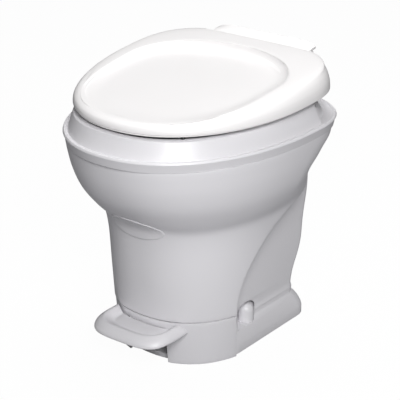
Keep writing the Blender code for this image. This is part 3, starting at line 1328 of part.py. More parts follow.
def make_water_valve():
    low_x, high_x = valve_body_x()
    body = box("water_valve_body", (low_x, VALVE_Y - VALVE_BODY_DEPTH / 2, VALVE_BODY_Z),
               (high_x, VALVE_Y + VALVE_BODY_DEPTH / 2, VALVE_BODY_Z + VALVE_BODY_HEIGHT),
               VALVE_BODY_EDGE)
    cut(body, as_tool(rod("plunger_bore", PLUNGER_RADIUS + PIN_CLEARANCE,
                          (GEAR_X, VALVE_Y, VALVE_BODY_Z - CUT_OVERRUN),
                          PLUNGER_REACH + RAMP_SLOPE_SHARE * RACK_TRAVEL + CUT_OVERRUN, "Z", 16)))
    return as_part(body, GREY_PLASTIC)


def make_plunger():
    low_z = RACK_TOP_Z + TOUCH_GAP
    plunger = rod("water_valve_plunger", PLUNGER_RADIUS, (GEAR_X, VALVE_Y, low_z),
                  VALVE_BODY_Z + PLUNGER_REACH - PLUNGER_REACH * 0.2 - low_z, "Z", 16)
    return as_part(plunger, BRASS, (GEAR_X, VALVE_Y, low_z))


def make_inlet_fitting():
    start_y = VALVE_Y + VALVE_BODY_DEPTH / 2 + TOUCH_GAP
    end_y = OVERALL_DEPTH / 2 - JOIN_OVERLAP
    x = inlet_x()
    profile = ((0.0, end_y - start_y), (INLET_RADIUS, end_y - start_y), (INLET_RADIUS, 0.0), (0.0, 0.0))
    fitting = turned("inlet_fitting", profile, (x, start_y, INLET_Z), "Y", 16)
    bore = rod("inlet_bore", INLET_RADIUS * 0.65, (x, start_y + INLET_RADIUS, INLET_Z),
               OVERALL_DEPTH, "Y", 12)
    cut(fitting, as_tool(bore))
    return as_part(fitting, BRASS)


def make_vacuum_breaker():
    half = BREAKER_RADIUS
    profile = ((0.0, BREAKER_HEIGHT), (half * 0.7, BREAKER_HEIGHT), (half, BREAKER_HEIGHT * 0.86),
               (half, BREAKER_HEIGHT * 0.18), (HOSE_RADIUS * 1.3, 0.0), (0.0, 0.0))
    breaker = turned("vacuum_breaker", profile, (BREAKER_X, BREAKER_Y, BREAKER_Z), steps=20)
    return as_part(breaker, BLACK_PLASTIC)


def hose_points(start, start_lead, end, end_lead, count=12):
    """A smooth route that leaves and arrives along its two leads."""
    points = []
    span = [start, start + start_lead, end + end_lead, end]
    for step in range(count + 1):
        t = step / count
        points.append(span[0] * (1 - t) ** 3 + span[1] * 3 * t * (1 - t) ** 2
                      + span[2] * 3 * t ** 2 * (1 - t) + span[3] * t ** 3)
    return points


def make_supply_hose():
    low_x, high_x = valve_body_x()
    start = Vector(((low_x + high_x) / 2, VALVE_Y + VALVE_BODY_DEPTH / 6,
                    VALVE_BODY_Z + VALVE_BODY_HEIGHT + 2 * TOUCH_GAP))
    end = Vector((BREAKER_X, BREAKER_Y, BREAKER_Z - 2 * TOUCH_GAP))
    rise = Vector((0.0, 0.0, (end.z - start.z) * 0.45))
    hose = tube_along("supply_hose", hose_points(start, rise, end, -rise), HOSE_RADIUS)
    return as_part(hose, CLEAR_HOSE)


def make_flush_nozzle():
    wall_y = BOWL_MOUTH_REAR - NOZZLE_WALL_SET
    stem_end = BREAKER_Y - BREAKER_RADIUS - 2 * TOUCH_GAP
    nozzle = rod("flush_nozzle", NOZZLE_RADIUS, (BREAKER_X, wall_y, NOZZLE_Z), stem_end - wall_y, "Y", 12)
    head = rod("nozzle_head", NOZZLE_RADIUS * 1.5, (BREAKER_X, wall_y - NOZZLE_RADIUS, NOZZLE_Z),
               NOZZLE_RADIUS * 1.1, "Y", 16, NOZZLE_RADIUS * 1.9)
    join(nozzle, as_tool(head))
    return as_part(nozzle, WHITE_PLASTIC)


# Seat, lid and their hinge

POST_SIDE_GAP = 0.0040
POST_X = SADDLE_HALF + POST_SIDE_GAP
POST_WIDTH = 0.0050
# How far forward of and below the hinge axis the post's front edge and its back corner lie
POST_NECK_SETBACKS = ((0.0155, 0.0210), (0.0345, 0.0460))
POST_BACK_SETBACK = (0.0055, 0.0250)
POST_FOOT_SETBACKS = (0.0445, 0.0210)
POST_NECK = [(HINGE_Y - ahead, HINGE_Z - below) for ahead, below in POST_NECK_SETBACKS]
POST_BACK = (HINGE_Y - POST_BACK_SETBACK[0], HINGE_Z - POST_BACK_SETBACK[1])
POST_FOOT_FRONT = HINGE_Y - POST_FOOT_SETBACKS[0]
POST_FOOT_REAR = HINGE_Y - POST_FOOT_SETBACKS[1]
POST_FOOT_HALF = 0.0060
POST_FOOT_HEIGHT = 0.0030
STUD_FOOT_INSET = 0.0120
STUD_Y = POST_FOOT_FRONT + STUD_FOOT_INSET
STUD_RADIUS = 0.0030
EAR_WIDTH = 0.0100
EAR_GAP = 0.0010
LID_EAR_OUT = SADDLE_HALF - 2 * TOUCH_GAP
SEAT_EAR_OUT = LID_EAR_OUT - EAR_WIDTH - EAR_GAP
SEAT = Section(SEAT_HALF, SEAT_FRONT, SEAT_REAR, LID_WIDEST_Y, SEAT_BOTTOM_Z, LID_EDGE_SLOPE,
               LID_FRONT_POWER, LID_REAR_POWER)
HOLE = Section(SEAT_HOLE_HALF, SEAT_HOLE_FRONT, SEAT_HOLE_REAR, SEAT_HOLE_WIDEST_Y, SEAT_BOTTOM_Z,
               LID_EDGE_SLOPE, BOWL_MOUTH_POWER, BOWL_MOUTH_POWER)


def seat_ring(section, amount, rise):
    """A level of the seat: drawn in by amount, on the seat's tilted plane raised by rise."""
    moved = inset(section, amount, SEAT_BOTTOM_Z + rise)
    return moved._replace(z=moved.z + LID_EDGE_SLOPE * (moved.front - SEAT_FRONT))


def make_seat():
    rings = [
        seat_ring(HOLE, -0.35 * SEAT_STEP_IN, 0.0),
        seat_ring(SEAT, SEAT_STEP_IN, 0.0),
        seat_ring(SEAT, 0.0, 0.45 * SEAT_STEP_Z),
        seat_ring(SEAT, 0.0, 0.90 * SEAT_STEP_Z),
        seat_ring(SEAT, SEAT_STEP_IN, 1.10 * SEAT_STEP_Z),
        seat_ring(SEAT, 2.0 * SEAT_STEP_IN, 0.80 * SEAT_CROWN),
        seat_ring(SEAT, 5.0 * SEAT_STEP_IN, SEAT_CROWN),
        seat_ring(HOLE, -2.0 * SEAT_STEP_IN, 0.85 * SEAT_CROWN),
        seat_ring(HOLE, -0.4 * SEAT_STEP_IN, 0.55 * SEAT_CROWN),
        seat_ring(HOLE, 0.0, 0.25 * SEAT_CROWN),
    ]
    seat = loft("seat", [egg_ring(ring) for ring in rings], looped=True)
    for side, name in ((-1, "left"), (1, "right")):
        edges = sorted((side * SEAT_EAR_OUT, side * (SEAT_EAR_OUT - 1.25 * EAR_WIDTH)))
        rear_z = SEAT_BOTTOM_Z + LID_EDGE_SLOPE * (SEAT_REAR - SEAT_FRONT)
        ear = solid_outline("seat_ear_" + name, (
            (SEAT_REAR - 4 * SEAT_STEP_IN, rear_z + 0.25 * SEAT_CROWN),
            (SEAT_REAR - SEAT_STEP_IN, rear_z + 0.10 * SEAT_CROWN),
            (HINGE_Y + HINGE_EYE_RADIUS * 0.5, HINGE_Z - HINGE_EYE_RADIUS * 0.87),
            (HINGE_Y + HINGE_EYE_RADIUS, HINGE_Z),
            (HINGE_Y + HINGE_EYE_RADIUS * 0.5, HINGE_Z + HINGE_EYE_RADIUS * 0.87),
            (HINGE_Y - HINGE_EYE_RADIUS * 0.5, HINGE_Z + HINGE_EYE_RADIUS * 0.87),
            (HINGE_Y - HINGE_EYE_RADIUS, HINGE_Z + HINGE_EYE_RADIUS * 0.2),
            (SEAT_REAR - 3 * SEAT_STEP_IN, rear_z + 0.85 * SEAT_CROWN),
        ), edges[0], edges[1])
        join(seat, as_tool(ear))
    cut(seat, as_tool(rod("seat_pin_bore", HINGE_PIN_RADIUS + PIN_CLEARANCE,
                          (-OVERALL_WIDTH / 2, HINGE_Y, HINGE_Z), OVERALL_WIDTH, "X", 16)))
    return as_part(seat, LID_PLASTIC, (0.0, HINGE_Y, HINGE_Z))


LID = Section(LID_HALF, LID_FRONT, LID_REAR, LID_WIDEST_Y, LID_EDGE_Z, LID_EDGE_SLOPE,
              LID_FRONT_POWER, LID_REAR_POWER)
PANEL = Section(PANEL_HALF, PANEL_FRONT, PANEL_REAR, PANEL_WIDEST_Y, PANEL_Z, PANEL_SLOPE, 2.66, 2.08)
SHOULDER = 0.0210
SHOULDER_REAR_SHARE = 0.5
# Inset share of the shoulder, rise share of the edge thickness, slope share of the panel's
SHOULDER_SHARES = ((0.0, 0.0, 0.25), (0.0, 0.22, 0.27), (0.05, 0.50, 0.40), (0.20, 0.80, 0.54),
                   (0.52, 1.02, 0.76), (1.0, 1.10, 0.94))
EDGE_THICKNESS = PANEL_Z - LID_EDGE_Z
DISH_TILT_RISE = 0.0288375
DISH_DEPTH_SLOPE = DISH_TILT_RISE / LID_LENGTH
DISH_REAR_MARGIN = 0.0470
DISH_REAR = PANEL_REAR - DISH_REAR_MARGIN
DISH_INSET = 0.0080


def lid_shoulder(in_share, rise_share, slope_share, wall=0.0):
    """One level of the rounded edge, which is squarer at the rear than at the front."""
    amount = SHOULDER * in_share
    return LID._replace(half=LID_HALF - 0.8 * amount - wall, front=LID_FRONT + amount + wall,
                        rear=LID_REAR - SHOULDER_REAR_SHARE * amount - wall,
                        z=LID_EDGE_Z + EDGE_THICKNESS * rise_share - wall,
                        slope=PANEL_SLOPE * slope_share)


def make_lid():
    crown_out = PANEL._replace(half=PANEL.half + DISH_INSET / 2, front=PANEL.front - DISH_INSET / 4,
                               rear=PANEL.rear + DISH_INSET / 2, z=PANEL_Z + DISH_INSET / 8)
    dish = PANEL._replace(half=PANEL_HALF - DISH_INSET, front=PANEL_FRONT + DISH_INSET / 3,
                          rear=DISH_REAR, widest=PANEL_WIDEST_Y / 2, z=PANEL_Z - DISH_INSET / 10,
                          slope=DISH_DEPTH_SLOPE, front_power=2.4)
    middle = dish._replace(half=dish.half / 3, front=dish.front + (dish.widest - dish.front) * 2 / 3,
                           rear=dish.widest + (dish.rear - dish.widest) / 3,
                           z=dish.z + DISH_DEPTH_SLOPE * (dish.widest - dish.front) * 2 / 3,
                           front_power=2.0, rear_power=2.0)
    top = [lid_shoulder(*row) for row in SHOULDER_SHARES] + [crown_out, PANEL, dish, middle]
    under_rows = [row for row in reversed(SHOULDER_SHARES) if row[1] != 0.22]
    under = [middle._replace(z=middle.z - LID_WALL), dish._replace(z=dish.z - LID_WALL),
             PANEL._replace(z=PANEL.z - LID_WALL)]
    for in_share, rise_share, slope_share in under_rows[:-1]:
        under.append(lid_shoulder(in_share, rise_share, slope_share, LID_WALL))
    edge_in = inset(LID, LID_WALL, LID_EDGE_Z)
    under.append(edge_in)
    lid = loft("lid", [egg_ring(section) for section in under + top])
    rear_skirt = box("lid_rear_opening", (-SADDLE_HALF - SLOT_WIDTH, SADDLE_REAR - SLOT_DEPTH, 0.0),
                     (SADDLE_HALF + SLOT_WIDTH, OVERALL_DEPTH, OVERALL_HEIGHT + CUT_OVERRUN))
    cut(lid, as_tool(rear_skirt))
    join(lid, as_tool(make_saddle()))
    for side, name in ((-1, "left"), (1, "right")):
        edges = sorted((side * LID_EAR_OUT, side * (LID_EAR_OUT - EAR_WIDTH)))
        saddle_under = OVERALL_HEIGHT - SADDLE_WALL / 2 - SADDLE_DIP
        ear = solid_outline("lid_ear_" + name, (
            (HINGE_Y - HINGE_EYE_RADIUS, HINGE_Z - HINGE_EYE_RADIUS * 0.5),
            (HINGE_Y - HINGE_EYE_RADIUS * 0.5, HINGE_Z - HINGE_EYE_RADIUS * 0.87),
            (HINGE_Y + HINGE_EYE_RADIUS * 0.5, HINGE_Z - HINGE_EYE_RADIUS * 0.87),
            (HINGE_Y + HINGE_EYE_RADIUS, HINGE_Z),
            (HINGE_Y + HINGE_EYE_RADIUS, saddle_under),
            (HINGE_Y - 2 * HINGE_EYE_RADIUS, saddle_under),
        ), edges[0], edges[1])
        join(lid, as_tool(ear))
    cut(lid, as_tool(rod("lid_pin_bore", HINGE_PIN_RADIUS + PIN_CLEARANCE,
                         (-OVERALL_WIDTH / 2, HINGE_Y, HINGE_Z), OVERALL_WIDTH, "X", 16)))
    return as_part(lid, LID_PLASTIC, (0.0, HINGE_Y, HINGE_Z))


SADDLE_DIP = 0.0095
SADDLE_RUN = 0.0550
SADDLE_START_Y = SADDLE_REAR - SADDLE_RUN
SADDLE_TOP_Z = OVERALL_HEIGHT
# Share of the half width, and how far the saddle's roll has dropped there
SADDLE_END_SHARES = ((0.0, 0.0), (0.70, 0.0), (0.86, 0.25), (0.95, 0.65), (1.0, 1.0))
SADDLE_END_DROP = 0.0060


def saddle_line(share, end_drop):
    """(y, z) of the saddle's top at a share of its run: a soft dip, then a curl up to the rear."""
    start_z = PANEL_Z + PANEL_SLOPE * (SADDLE_START_Y - PANEL_FRONT) - DISH_INSET / 3
    y = SADDLE_START_Y + (SADDLE_REAR - SADDLE_START_Y) * share
    curl = share ** 2.6
    dip = SADDLE_DIP * 0.30 * math.sin(math.pi * min(1.0, share * 1.25))
    return y, start_z * (1 - curl) + (SADDLE_TOP_Z - end_drop) * curl - dip


def make_saddle():
    steps = 8
    rings = []
    marks = [share for share, drop in SADDLE_END_SHARES]
    for mark in [-mark for mark in reversed(marks[1:])] + marks:
        end_drop = SADDLE_END_DROP * smooth_value(SADDLE_END_SHARES, abs(mark))
        x = (SADDLE_HALF - 2 * TOUCH_GAP) * mark
        top = [saddle_line(step / steps, end_drop) for step in range(steps + 1)]
        under = [(y - SADDLE_WALL * 0.3, z - SADDLE_WALL) for y, z in reversed(top)]
        rings.append([Vector((x, y, z)) for y, z in top + under])
    saddle = loft("lid_saddle", rings)
    mesh_out(saddle)
    return saddle


def make_hinges():
    made = []
    base_z = DECK_Z + TOUCH_GAP
    for side, name in ((-1, "left"), (1, "right")):
        edges = sorted((side * (POST_X - POST_WIDTH / 2), side * (POST_X + POST_WIDTH / 2)))
        arc = polar([(math.radians(-30 + 240 * step / 10), HINGE_EYE_RADIUS) for step in range(11)],
                    HINGE_Y, HINGE_Z)
        outline = [*arc, *POST_NECK, (POST_NECK[1][0], base_z), (POST_FOOT_REAR, base_z), POST_BACK]
        post = solid_outline("hinge_post_" + name, outline, edges[0], edges[1])
        foot_edges = sorted((side * (POST_X - POST_FOOT_HALF), side * (POST_X + POST_FOOT_HALF)))
        join(post, as_tool(box("post_foot_" + name, (foot_edges[0], POST_FOOT_FRONT, base_z),
                               (foot_edges[1], POST_FOOT_REAR, base_z + POST_FOOT_HEIGHT))))
        cut(post, as_tool(rod("post_pin_bore_" + name, HINGE_PIN_RADIUS + PIN_CLEARANCE,
                              (-OVERALL_WIDTH / 2, HINGE_Y, HINGE_Z), OVERALL_WIDTH, "X", 16)))
        stud_low = COLLAR_FLOOR_Z - 3 * NUT_HEIGHT / 2
        stud = rod("post_stud_" + name, STUD_RADIUS, (side * POST_X, STUD_Y, stud_low),
                   base_z + POST_FOOT_HEIGHT / 2 - stud_low, "Z", 16)
        join(post, as_tool(stud))
        made.append(as_part(post, LID_PLASTIC))

        pin_ends = sorted((side * (SEAT_EAR_OUT - 1.25 * EAR_WIDTH - 2 * TOUCH_GAP),
                           side * (POST_X + POST_WIDTH / 2 + 2 * TOUCH_GAP)))
        made.append(as_part(rod("hinge_pin_" + name, HINGE_PIN_RADIUS, (pin_ends[0], HINGE_Y, HINGE_Z),
                                pin_ends[1] - pin_ends[0], "X", 16), STEEL))

        nut = rod("hinge_nut_" + name, 2.2 * STUD_RADIUS,
                  (side * POST_X, STUD_Y, COLLAR_FLOOR_Z - TOUCH_GAP - NUT_HEIGHT), NUT_HEIGHT, "Z", 6)
        cut(nut, as_tool(rod("hinge_nut_bore_" + name, STUD_RADIUS + PIN_CLEARANCE,
                             (side * POST_X, STUD_Y, COLLAR_FLOOR_Z - 3 * NUT_HEIGHT),
                             6 * NUT_HEIGHT, "Z", 16)))
        made.append(as_part(nut, NYLON))
    return made


BUMPER_RADIUS = 0.0050
FRONT_BUMPER_INSET = 0.0830
SIDE_BUMPER_INSET = 0.0290
FRONT_BUMPER_X = SEAT_HALF - FRONT_BUMPER_INSET
SIDE_BUMPER_X = SEAT_HALF - SIDE_BUMPER_INSET


def make_bumpers():
    """Rubber pads under the seat that rest on the rim's crest."""
    crest_middle = inset(FLANGE, BAND_FOOT_INSET + BAND_DRAFT + CREST_WIDTH * 0.55, CREST_Z)
    crest_middle = crest_middle._replace(front_power=BAND_FRONT_POWER)
    made = []
    for row, x in (("front", FRONT_BUMPER_X), ("rear", SIDE_BUMPER_X)):
        y = egg_y(crest_middle, x)
        under_z = SEAT_BOTTOM_Z + LID_EDGE_SLOPE * (y - BUMPER_RADIUS - SEAT_FRONT)
        for side, name in ((-1, "left"), (1, "right")):
            pad = rod("seat_bumper_" + row + "_" + name, BUMPER_RADIUS,
                      (side * x, y, CREST_Z + TOUCH_GAP), under_z - 2 * TOUCH_GAP - CREST_Z, "Z", 16)
            made.append(as_part(pad, RUBBER, (0.0, HINGE_Y, HINGE_Z)))
    return made


# Floor bolts and their caps

BOLT_RADIUS = 0.0032
BOLT_TOP_Z = 0.0480
WASHER_RADIUS = 0.0090
WASHER_HEIGHT = 0.0015
NUT_HEIGHT = 0.0055
CAP_RADIUS = 0.0115
CAP_HEIGHT = 0.0340
CAP_WALL = 0.0015


def make_floor_bolts():
    made = []
    for side, name in ((-1, "left"), (1, "right")):
        x = side * BOLT_HALF_SPACING
        floor_z = NICHE_FLOOR_Z + TOUCH_GAP
        made.append(as_part(rod("closet_bolt_" + name, BOLT_RADIUS, (x, OUTLET_Y, 3 * TOUCH_GAP),
                                BOLT_TOP_Z, "Z", 16), BRASS))
        washer = rod("bolt_washer_" + name, WASHER_RADIUS, (x, OUTLET_Y, floor_z), WASHER_HEIGHT, "Z", 16)
        nut = rod("bolt_nut_" + name, 2.0 * BOLT_RADIUS,
                  (x, OUTLET_Y, floor_z + WASHER_HEIGHT + TOUCH_GAP), NUT_HEIGHT, "Z", 6)
        for piece, metal in ((washer, STEEL), (nut, BRASS)):
            hole = rod(piece.name + "_hole", BOLT_RADIUS + PIN_CLEARANCE, (x, OUTLET_Y, 0.0),
                       OVERALL_HEIGHT, "Z", 16)
            cut(piece, as_tool(hole))
            made.append(as_part(piece, metal))

        crown = CAP_HEIGHT - CAP_RADIUS
        profile = []
        for step in range(5):
            angle = math.pi / 2 * step / 4
            profile.append((CAP_RADIUS * math.sin(angle), crown + CAP_RADIUS * math.cos(angle)))
        profile.append((CAP_RADIUS, 0.0))
        inner = CAP_RADIUS - CAP_WALL
        profile.append((inner, 0.0))
        for step in range(4, -1, -1):
            angle = math.pi / 2 * step / 4
            profile.append((inner * math.sin(angle), crown + inner * math.cos(angle)))
        cap = turned("bolt_cap_" + name, profile, (x, OUTLET_Y, floor_z), steps=16)
        made.append(as_part(cap, WHITE_PLASTIC))
    return made


def build():
    make_rim_collar()
    make_pedestal_shell()
    make_badge_pad()
    make_base_front()
    make_base_foot()
    make_rear_body()
    make_inner_bowl()
    make_valve_housing()
    make_bowl_seal()
    make_valve_ball()
    make_ball_shafts()
    make_spring_cartridge()
    make_outlet_spigot()
    make_floor_seal()
    make_ball_pinion()
    make_sector_gear()
    make_drive_rack()
    make_mechanism_plate()
    make_rack_guides()
    make_pedal()
    make_pedal_bracket()
    make_pedal_pin()
    make_pedal_stop()
    make_water_valve()
    make_plunger()
    make_inlet_fitting()
    make_vacuum_breaker()
    make_supply_hose()
    make_flush_nozzle()
    make_seat()
    make_lid()
    make_hinges()
    make_bumpers()
    make_floor_bolts()
    print("pieces:", len(PARTS.objects))


build()
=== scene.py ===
# %% [markdown]
# # A pedal toilet for a caravan
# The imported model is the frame: every solid is there, at its real size, but with coarse facets.
# This lesson gives it the fine moulded surfaces that a hand would feel, and then its finishes.
# Everything is in metres, with the front of the bowl towards -Y and the floor at Z = 0.

import json
import math
from collections import namedtuple

import bpy
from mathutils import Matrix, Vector


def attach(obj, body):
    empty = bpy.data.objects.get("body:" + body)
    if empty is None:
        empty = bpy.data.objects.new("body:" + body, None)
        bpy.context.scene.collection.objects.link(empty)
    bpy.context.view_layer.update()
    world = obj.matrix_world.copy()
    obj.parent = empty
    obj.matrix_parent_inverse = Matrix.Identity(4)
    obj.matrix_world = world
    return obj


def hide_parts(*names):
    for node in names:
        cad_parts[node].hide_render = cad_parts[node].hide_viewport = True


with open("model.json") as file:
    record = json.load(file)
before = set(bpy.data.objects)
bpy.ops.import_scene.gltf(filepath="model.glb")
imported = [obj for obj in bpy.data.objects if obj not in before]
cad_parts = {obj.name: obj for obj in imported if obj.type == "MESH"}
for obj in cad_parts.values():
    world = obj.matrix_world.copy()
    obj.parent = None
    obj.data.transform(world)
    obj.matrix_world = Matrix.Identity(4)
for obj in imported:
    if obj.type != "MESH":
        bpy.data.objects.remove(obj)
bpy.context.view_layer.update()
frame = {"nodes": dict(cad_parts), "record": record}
nodes = frame["nodes"]

# %% [markdown]
# ## Modelling helpers
# Most of this object is moulded skin whose section changes slowly with height. It could be
# sculpted, or subdivided from a cube, but then its sizes would drift. So each skin is a stack of
# rings: a circle is added, extruded once for every ring in edit mode, and each ring is laid on
# its section. Boolean cuts and joins come after that.

# %% Selecting and finishing
def only(item):
    bpy.ops.object.select_all(action="DESELECT")
    item.select_set(True)
    bpy.context.view_layer.objects.active = item


def add_piece(name, primitive, **settings):
    """Add a primitive while nothing else is selected, and name it."""
    bpy.ops.object.select_all(action="DESELECT")
    primitive(**settings)
    item = bpy.context.object
    item.name = name
    item.data.name = name
    return item


def bake_place(item):
    bpy.ops.object.transform_apply(location=True, rotation=True, scale=True)
    return item


def apply(item, kind, **settings):
    only(item)
    change = item.modifiers.new(kind.title(), kind)
    for key, value in settings.items():
        setattr(change, key, value)
    bpy.ops.object.modifier_apply(modifier=change.name)


def face_out(item):
    only(item)
    bpy.ops.object.mode_set(mode="EDIT")
    bpy.ops.mesh.select_all(action="SELECT")
    bpy.ops.mesh.normals_make_consistent(inside=False)
    bpy.ops.object.mode_set(mode="OBJECT")


# %% A stack of rings
def circle_index(vertex, count):
    """Which point of a new circle a vertex is, counted round from the one on +Y."""
    turn = math.atan2(vertex.co.y, vertex.co.x) - math.pi / 2
    return round(turn / math.tau * count) % count


def loft(name, rings, looped=False, capped=True):
    """Skin equal rings: extrude a circle once for each, then lay every ring in its place."""
    count = len(rings[0])
    item = add_piece(name, bpy.ops.mesh.primitive_circle_add, vertices=count, radius=1.0)
    bpy.ops.object.mode_set(mode="EDIT")
    bpy.ops.mesh.select_mode(type="EDGE")
    bpy.ops.mesh.select_all(action="SELECT")
    for _ in rings[1:]:
        bpy.ops.mesh.extrude_edges_move(TRANSFORM_OT_translate={"value": (0.0, 0.0, 1.0)})
    bpy.ops.object.mode_set(mode="OBJECT")
    for vertex in item.data.vertices:
        vertex.co = rings[round(vertex.co.z)][circle_index(vertex, count)]
    bpy.ops.object.mode_set(mode="EDIT")
    if looped:
        bpy.ops.mesh.select_all(action="DESELECT")
        bpy.ops.mesh.select_non_manifold()
        bpy.ops.mesh.bridge_edge_loops()
    elif capped:
        bpy.ops.mesh.select_all(action="SELECT")
        bpy.ops.mesh.fill_holes(sides=0)
    bpy.ops.object.mode_set(mode="OBJECT")
    face_out(item)
    return item


def smooth_rings(rings, steps):
    """More rings between the given ones, on a smooth curve through each point."""
    finer = []
    for row in range(len(rings) - 1):
        before = rings[max(row - 1, 0)]
        after = rings[min(row + 2, len(rings) - 1)]
        for step in range(steps):
            t = step / steps
            ring = []
            # The Catmull-Rom curve from b to c
            for a, b, c, d in zip(before, rings[row], rings[row + 1], after):
                ring.append(0.5 * (2 * b + (c - a) * t + (2 * a - 5 * b + 4 * c - d) * t * t
                                   + (3 * b - a - 3 * c + d) * t ** 3))
            finer.append(ring)
    finer.append(rings[-1])
    return finer


# %% Boxes, bars and prisms
BOX_BEVEL_STEPS = 4
BAR_STEPS = 48
FINE_BAR_STEPS = 32
AXIS_TURN = {"X": (0.0, math.pi / 2, 0.0), "Y": (-math.pi / 2, 0.0, 0.0), "Z": (0.0, 0.0, 0.0)}
AXIS_WAY = {"X": Vector((1.0, 0.0, 0.0)), "Y": Vector((0.0, 1.0, 0.0)), "Z": Vector((0.0, 0.0, 1.0))}


def box(name, low, high, bevel=0.0):
    item = add_piece(name, bpy.ops.mesh.primitive_cube_add, size=1.0,
                     location=[(a + b) / 2 for a, b in zip(low, high)])
    item.scale = [b - a for a, b in zip(low, high)]
    bake_place(item)
    if bevel:
        apply(item, "BEVEL", width=bevel, segments=BOX_BEVEL_STEPS)
    return item


def rod(name, radius, start, length, axis, steps=BAR_STEPS):
    """A round bar that starts at a point and runs the given length along +axis."""
    return bake_place(add_piece(name, bpy.ops.mesh.primitive_cylinder_add, vertices=steps, radius=radius,
                                depth=length, location=Vector(start) + AXIS_WAY[axis] * (length / 2),
                                rotation=AXIS_TURN[axis]))


def solid_outline(name, outline, start_x, end_x):
    """A prism along X over a (y, z) outline: one face, extruded."""
    count = len(outline)
    item = add_piece(name, bpy.ops.mesh.primitive_circle_add, vertices=count, radius=1.0,
                     fill_type="NGON")
    for vertex in item.data.vertices:
        y, z = outline[circle_index(vertex, count)]
        vertex.co = (start_x, y, z)
    bpy.ops.object.mode_set(mode="EDIT")
    bpy.ops.mesh.select_all(action="SELECT")
    bpy.ops.mesh.extrude_region_move(TRANSFORM_OT_translate={"value": (end_x - start_x, 0.0, 0.0)})
    bpy.ops.object.mode_set(mode="OBJECT")
    face_out(item)
    return item


# %% Cutting, joining and rounding
WELD_REACH = 0.00001
EDGE_STEPS = 3
SHARP_ANGLE = 32.0


def combine(item, tool, operation):
    apply(item, "BOOLEAN", operation=operation, object=tool, solver="EXACT")
    bpy.data.objects.remove(tool)
    return item


def cut(item, tool):
    return combine(item, tool, "DIFFERENCE")


def join(item, tool):
    return combine(item, tool, "UNION")


def drill(item, name, radius, start, length, axis, steps=BAR_STEPS):
    return cut(item, rod(name, radius, start, length, axis, steps))


def soften(item, width, angle=SHARP_ANGLE):
    """Round the edges that are sharper than an angle a little, as a mould does."""
    apply(item, "WELD", merge_threshold=WELD_REACH)
    apply(item, "BEVEL", width=width, segments=EDGE_STEPS, limit_method="ANGLE",
          angle_limit=math.radians(angle), harden_normals=False)
    return item


# %% [markdown]
# ## Plastic and its kin
# Moulded gloss plastic is not one flat white. Its colour drifts a little, the gloss is uneven where
# hands and cloths have been, and the skin has a faint long wave under a much finer grain.
# A photographed texture could give all that, but it would need a picture and a UV map. Noise nodes
# need neither, and Object coordinates fix the pattern to the piece.

# %% A plastic finish
# Noise scales are per metre
TINT_SCALE, TINT_DETAIL = 9.0, 3.0
GLOSS_SCALE, GLOSS_DETAIL = 14.0, 2.0
WAVE_SCALE, WAVE_DETAIL = 9.0, 0.0
GRAIN_SCALE, GRAIN_DETAIL = 900.0, 1.0
GLOSS_SPREAD = 0.06
NOISE_LOW, NOISE_HIGH = 0.3, 0.7
WAVE_DEPTH = 0.002
GRAIN_DEPTH = 0.0003
COAT_ROUGHNESS = 0.12


def add_node(tree, kind, values, **settings):
    """A new shader node with its settings made and its sockets filled."""
    node = tree.nodes.new("ShaderNode" + kind)
    for key, value in settings.items():
        setattr(node, key, value)
    for socket, value in values.items():
        node.inputs[socket].default_value = value
    return node


def start_material(name, values):
    """A material with its shader's sockets filled: the material, its nodes and the shader."""
    made = bpy.data.materials.new(name)
    made.use_nodes = True
    shader = made.node_tree.nodes["Principled BSDF"]
    for socket, value in values.items():
        shader.inputs[socket].default_value = value
    return made, made.node_tree, shader


def plastic(name, colour, roughness, drift, wave, grain, coat, metal):
    made, tree, shader = start_material(name, {"Metallic": metal, "Coat Weight": coat,
                                               "Coat Roughness": COAT_ROUGHNESS})
    link = tree.links.new
    place = tree.nodes.new("ShaderNodeTexCoord").outputs["Object"]

    def noise(scale, detail):
        node = add_node(tree, "TexNoise", {"Scale": scale, "Detail": detail})
        link(place, node.inputs["Vector"])
        return node.outputs["Fac"]

    tint = add_node(tree, "Mix", {6: (*[value * (1 - drift) for value in colour], 1.0),
                                  7: (*[min(1.0, value * (1 + drift)) for value in colour], 1.0)},
                    data_type="RGBA")
    link(noise(TINT_SCALE, TINT_DETAIL), tint.inputs[0])
    link(tint.outputs[2], shader.inputs["Base Color"])
    gloss = add_node(tree, "MapRange", {"From Min": NOISE_LOW, "From Max": NOISE_HIGH,
                                        "To Min": roughness * (1 - GLOSS_SPREAD),
                                        "To Max": roughness * (1 + GLOSS_SPREAD)})
    link(noise(GLOSS_SCALE, GLOSS_DETAIL), gloss.inputs["Value"])
    link(gloss.outputs["Result"], shader.inputs["Roughness"])
    swell = add_node(tree, "Bump", {"Strength": wave, "Distance": WAVE_DEPTH})
    link(noise(WAVE_SCALE, WAVE_DETAIL), swell.inputs["Height"])
    fine = add_node(tree, "Bump", {"Strength": grain, "Distance": GRAIN_DEPTH})
    link(noise(GRAIN_SCALE, GRAIN_DETAIL), fine.inputs["Height"])
    link(swell.outputs["Normal"], fine.inputs["Normal"])
    link(fine.outputs["Normal"], shader.inputs["Normal"])
    return made


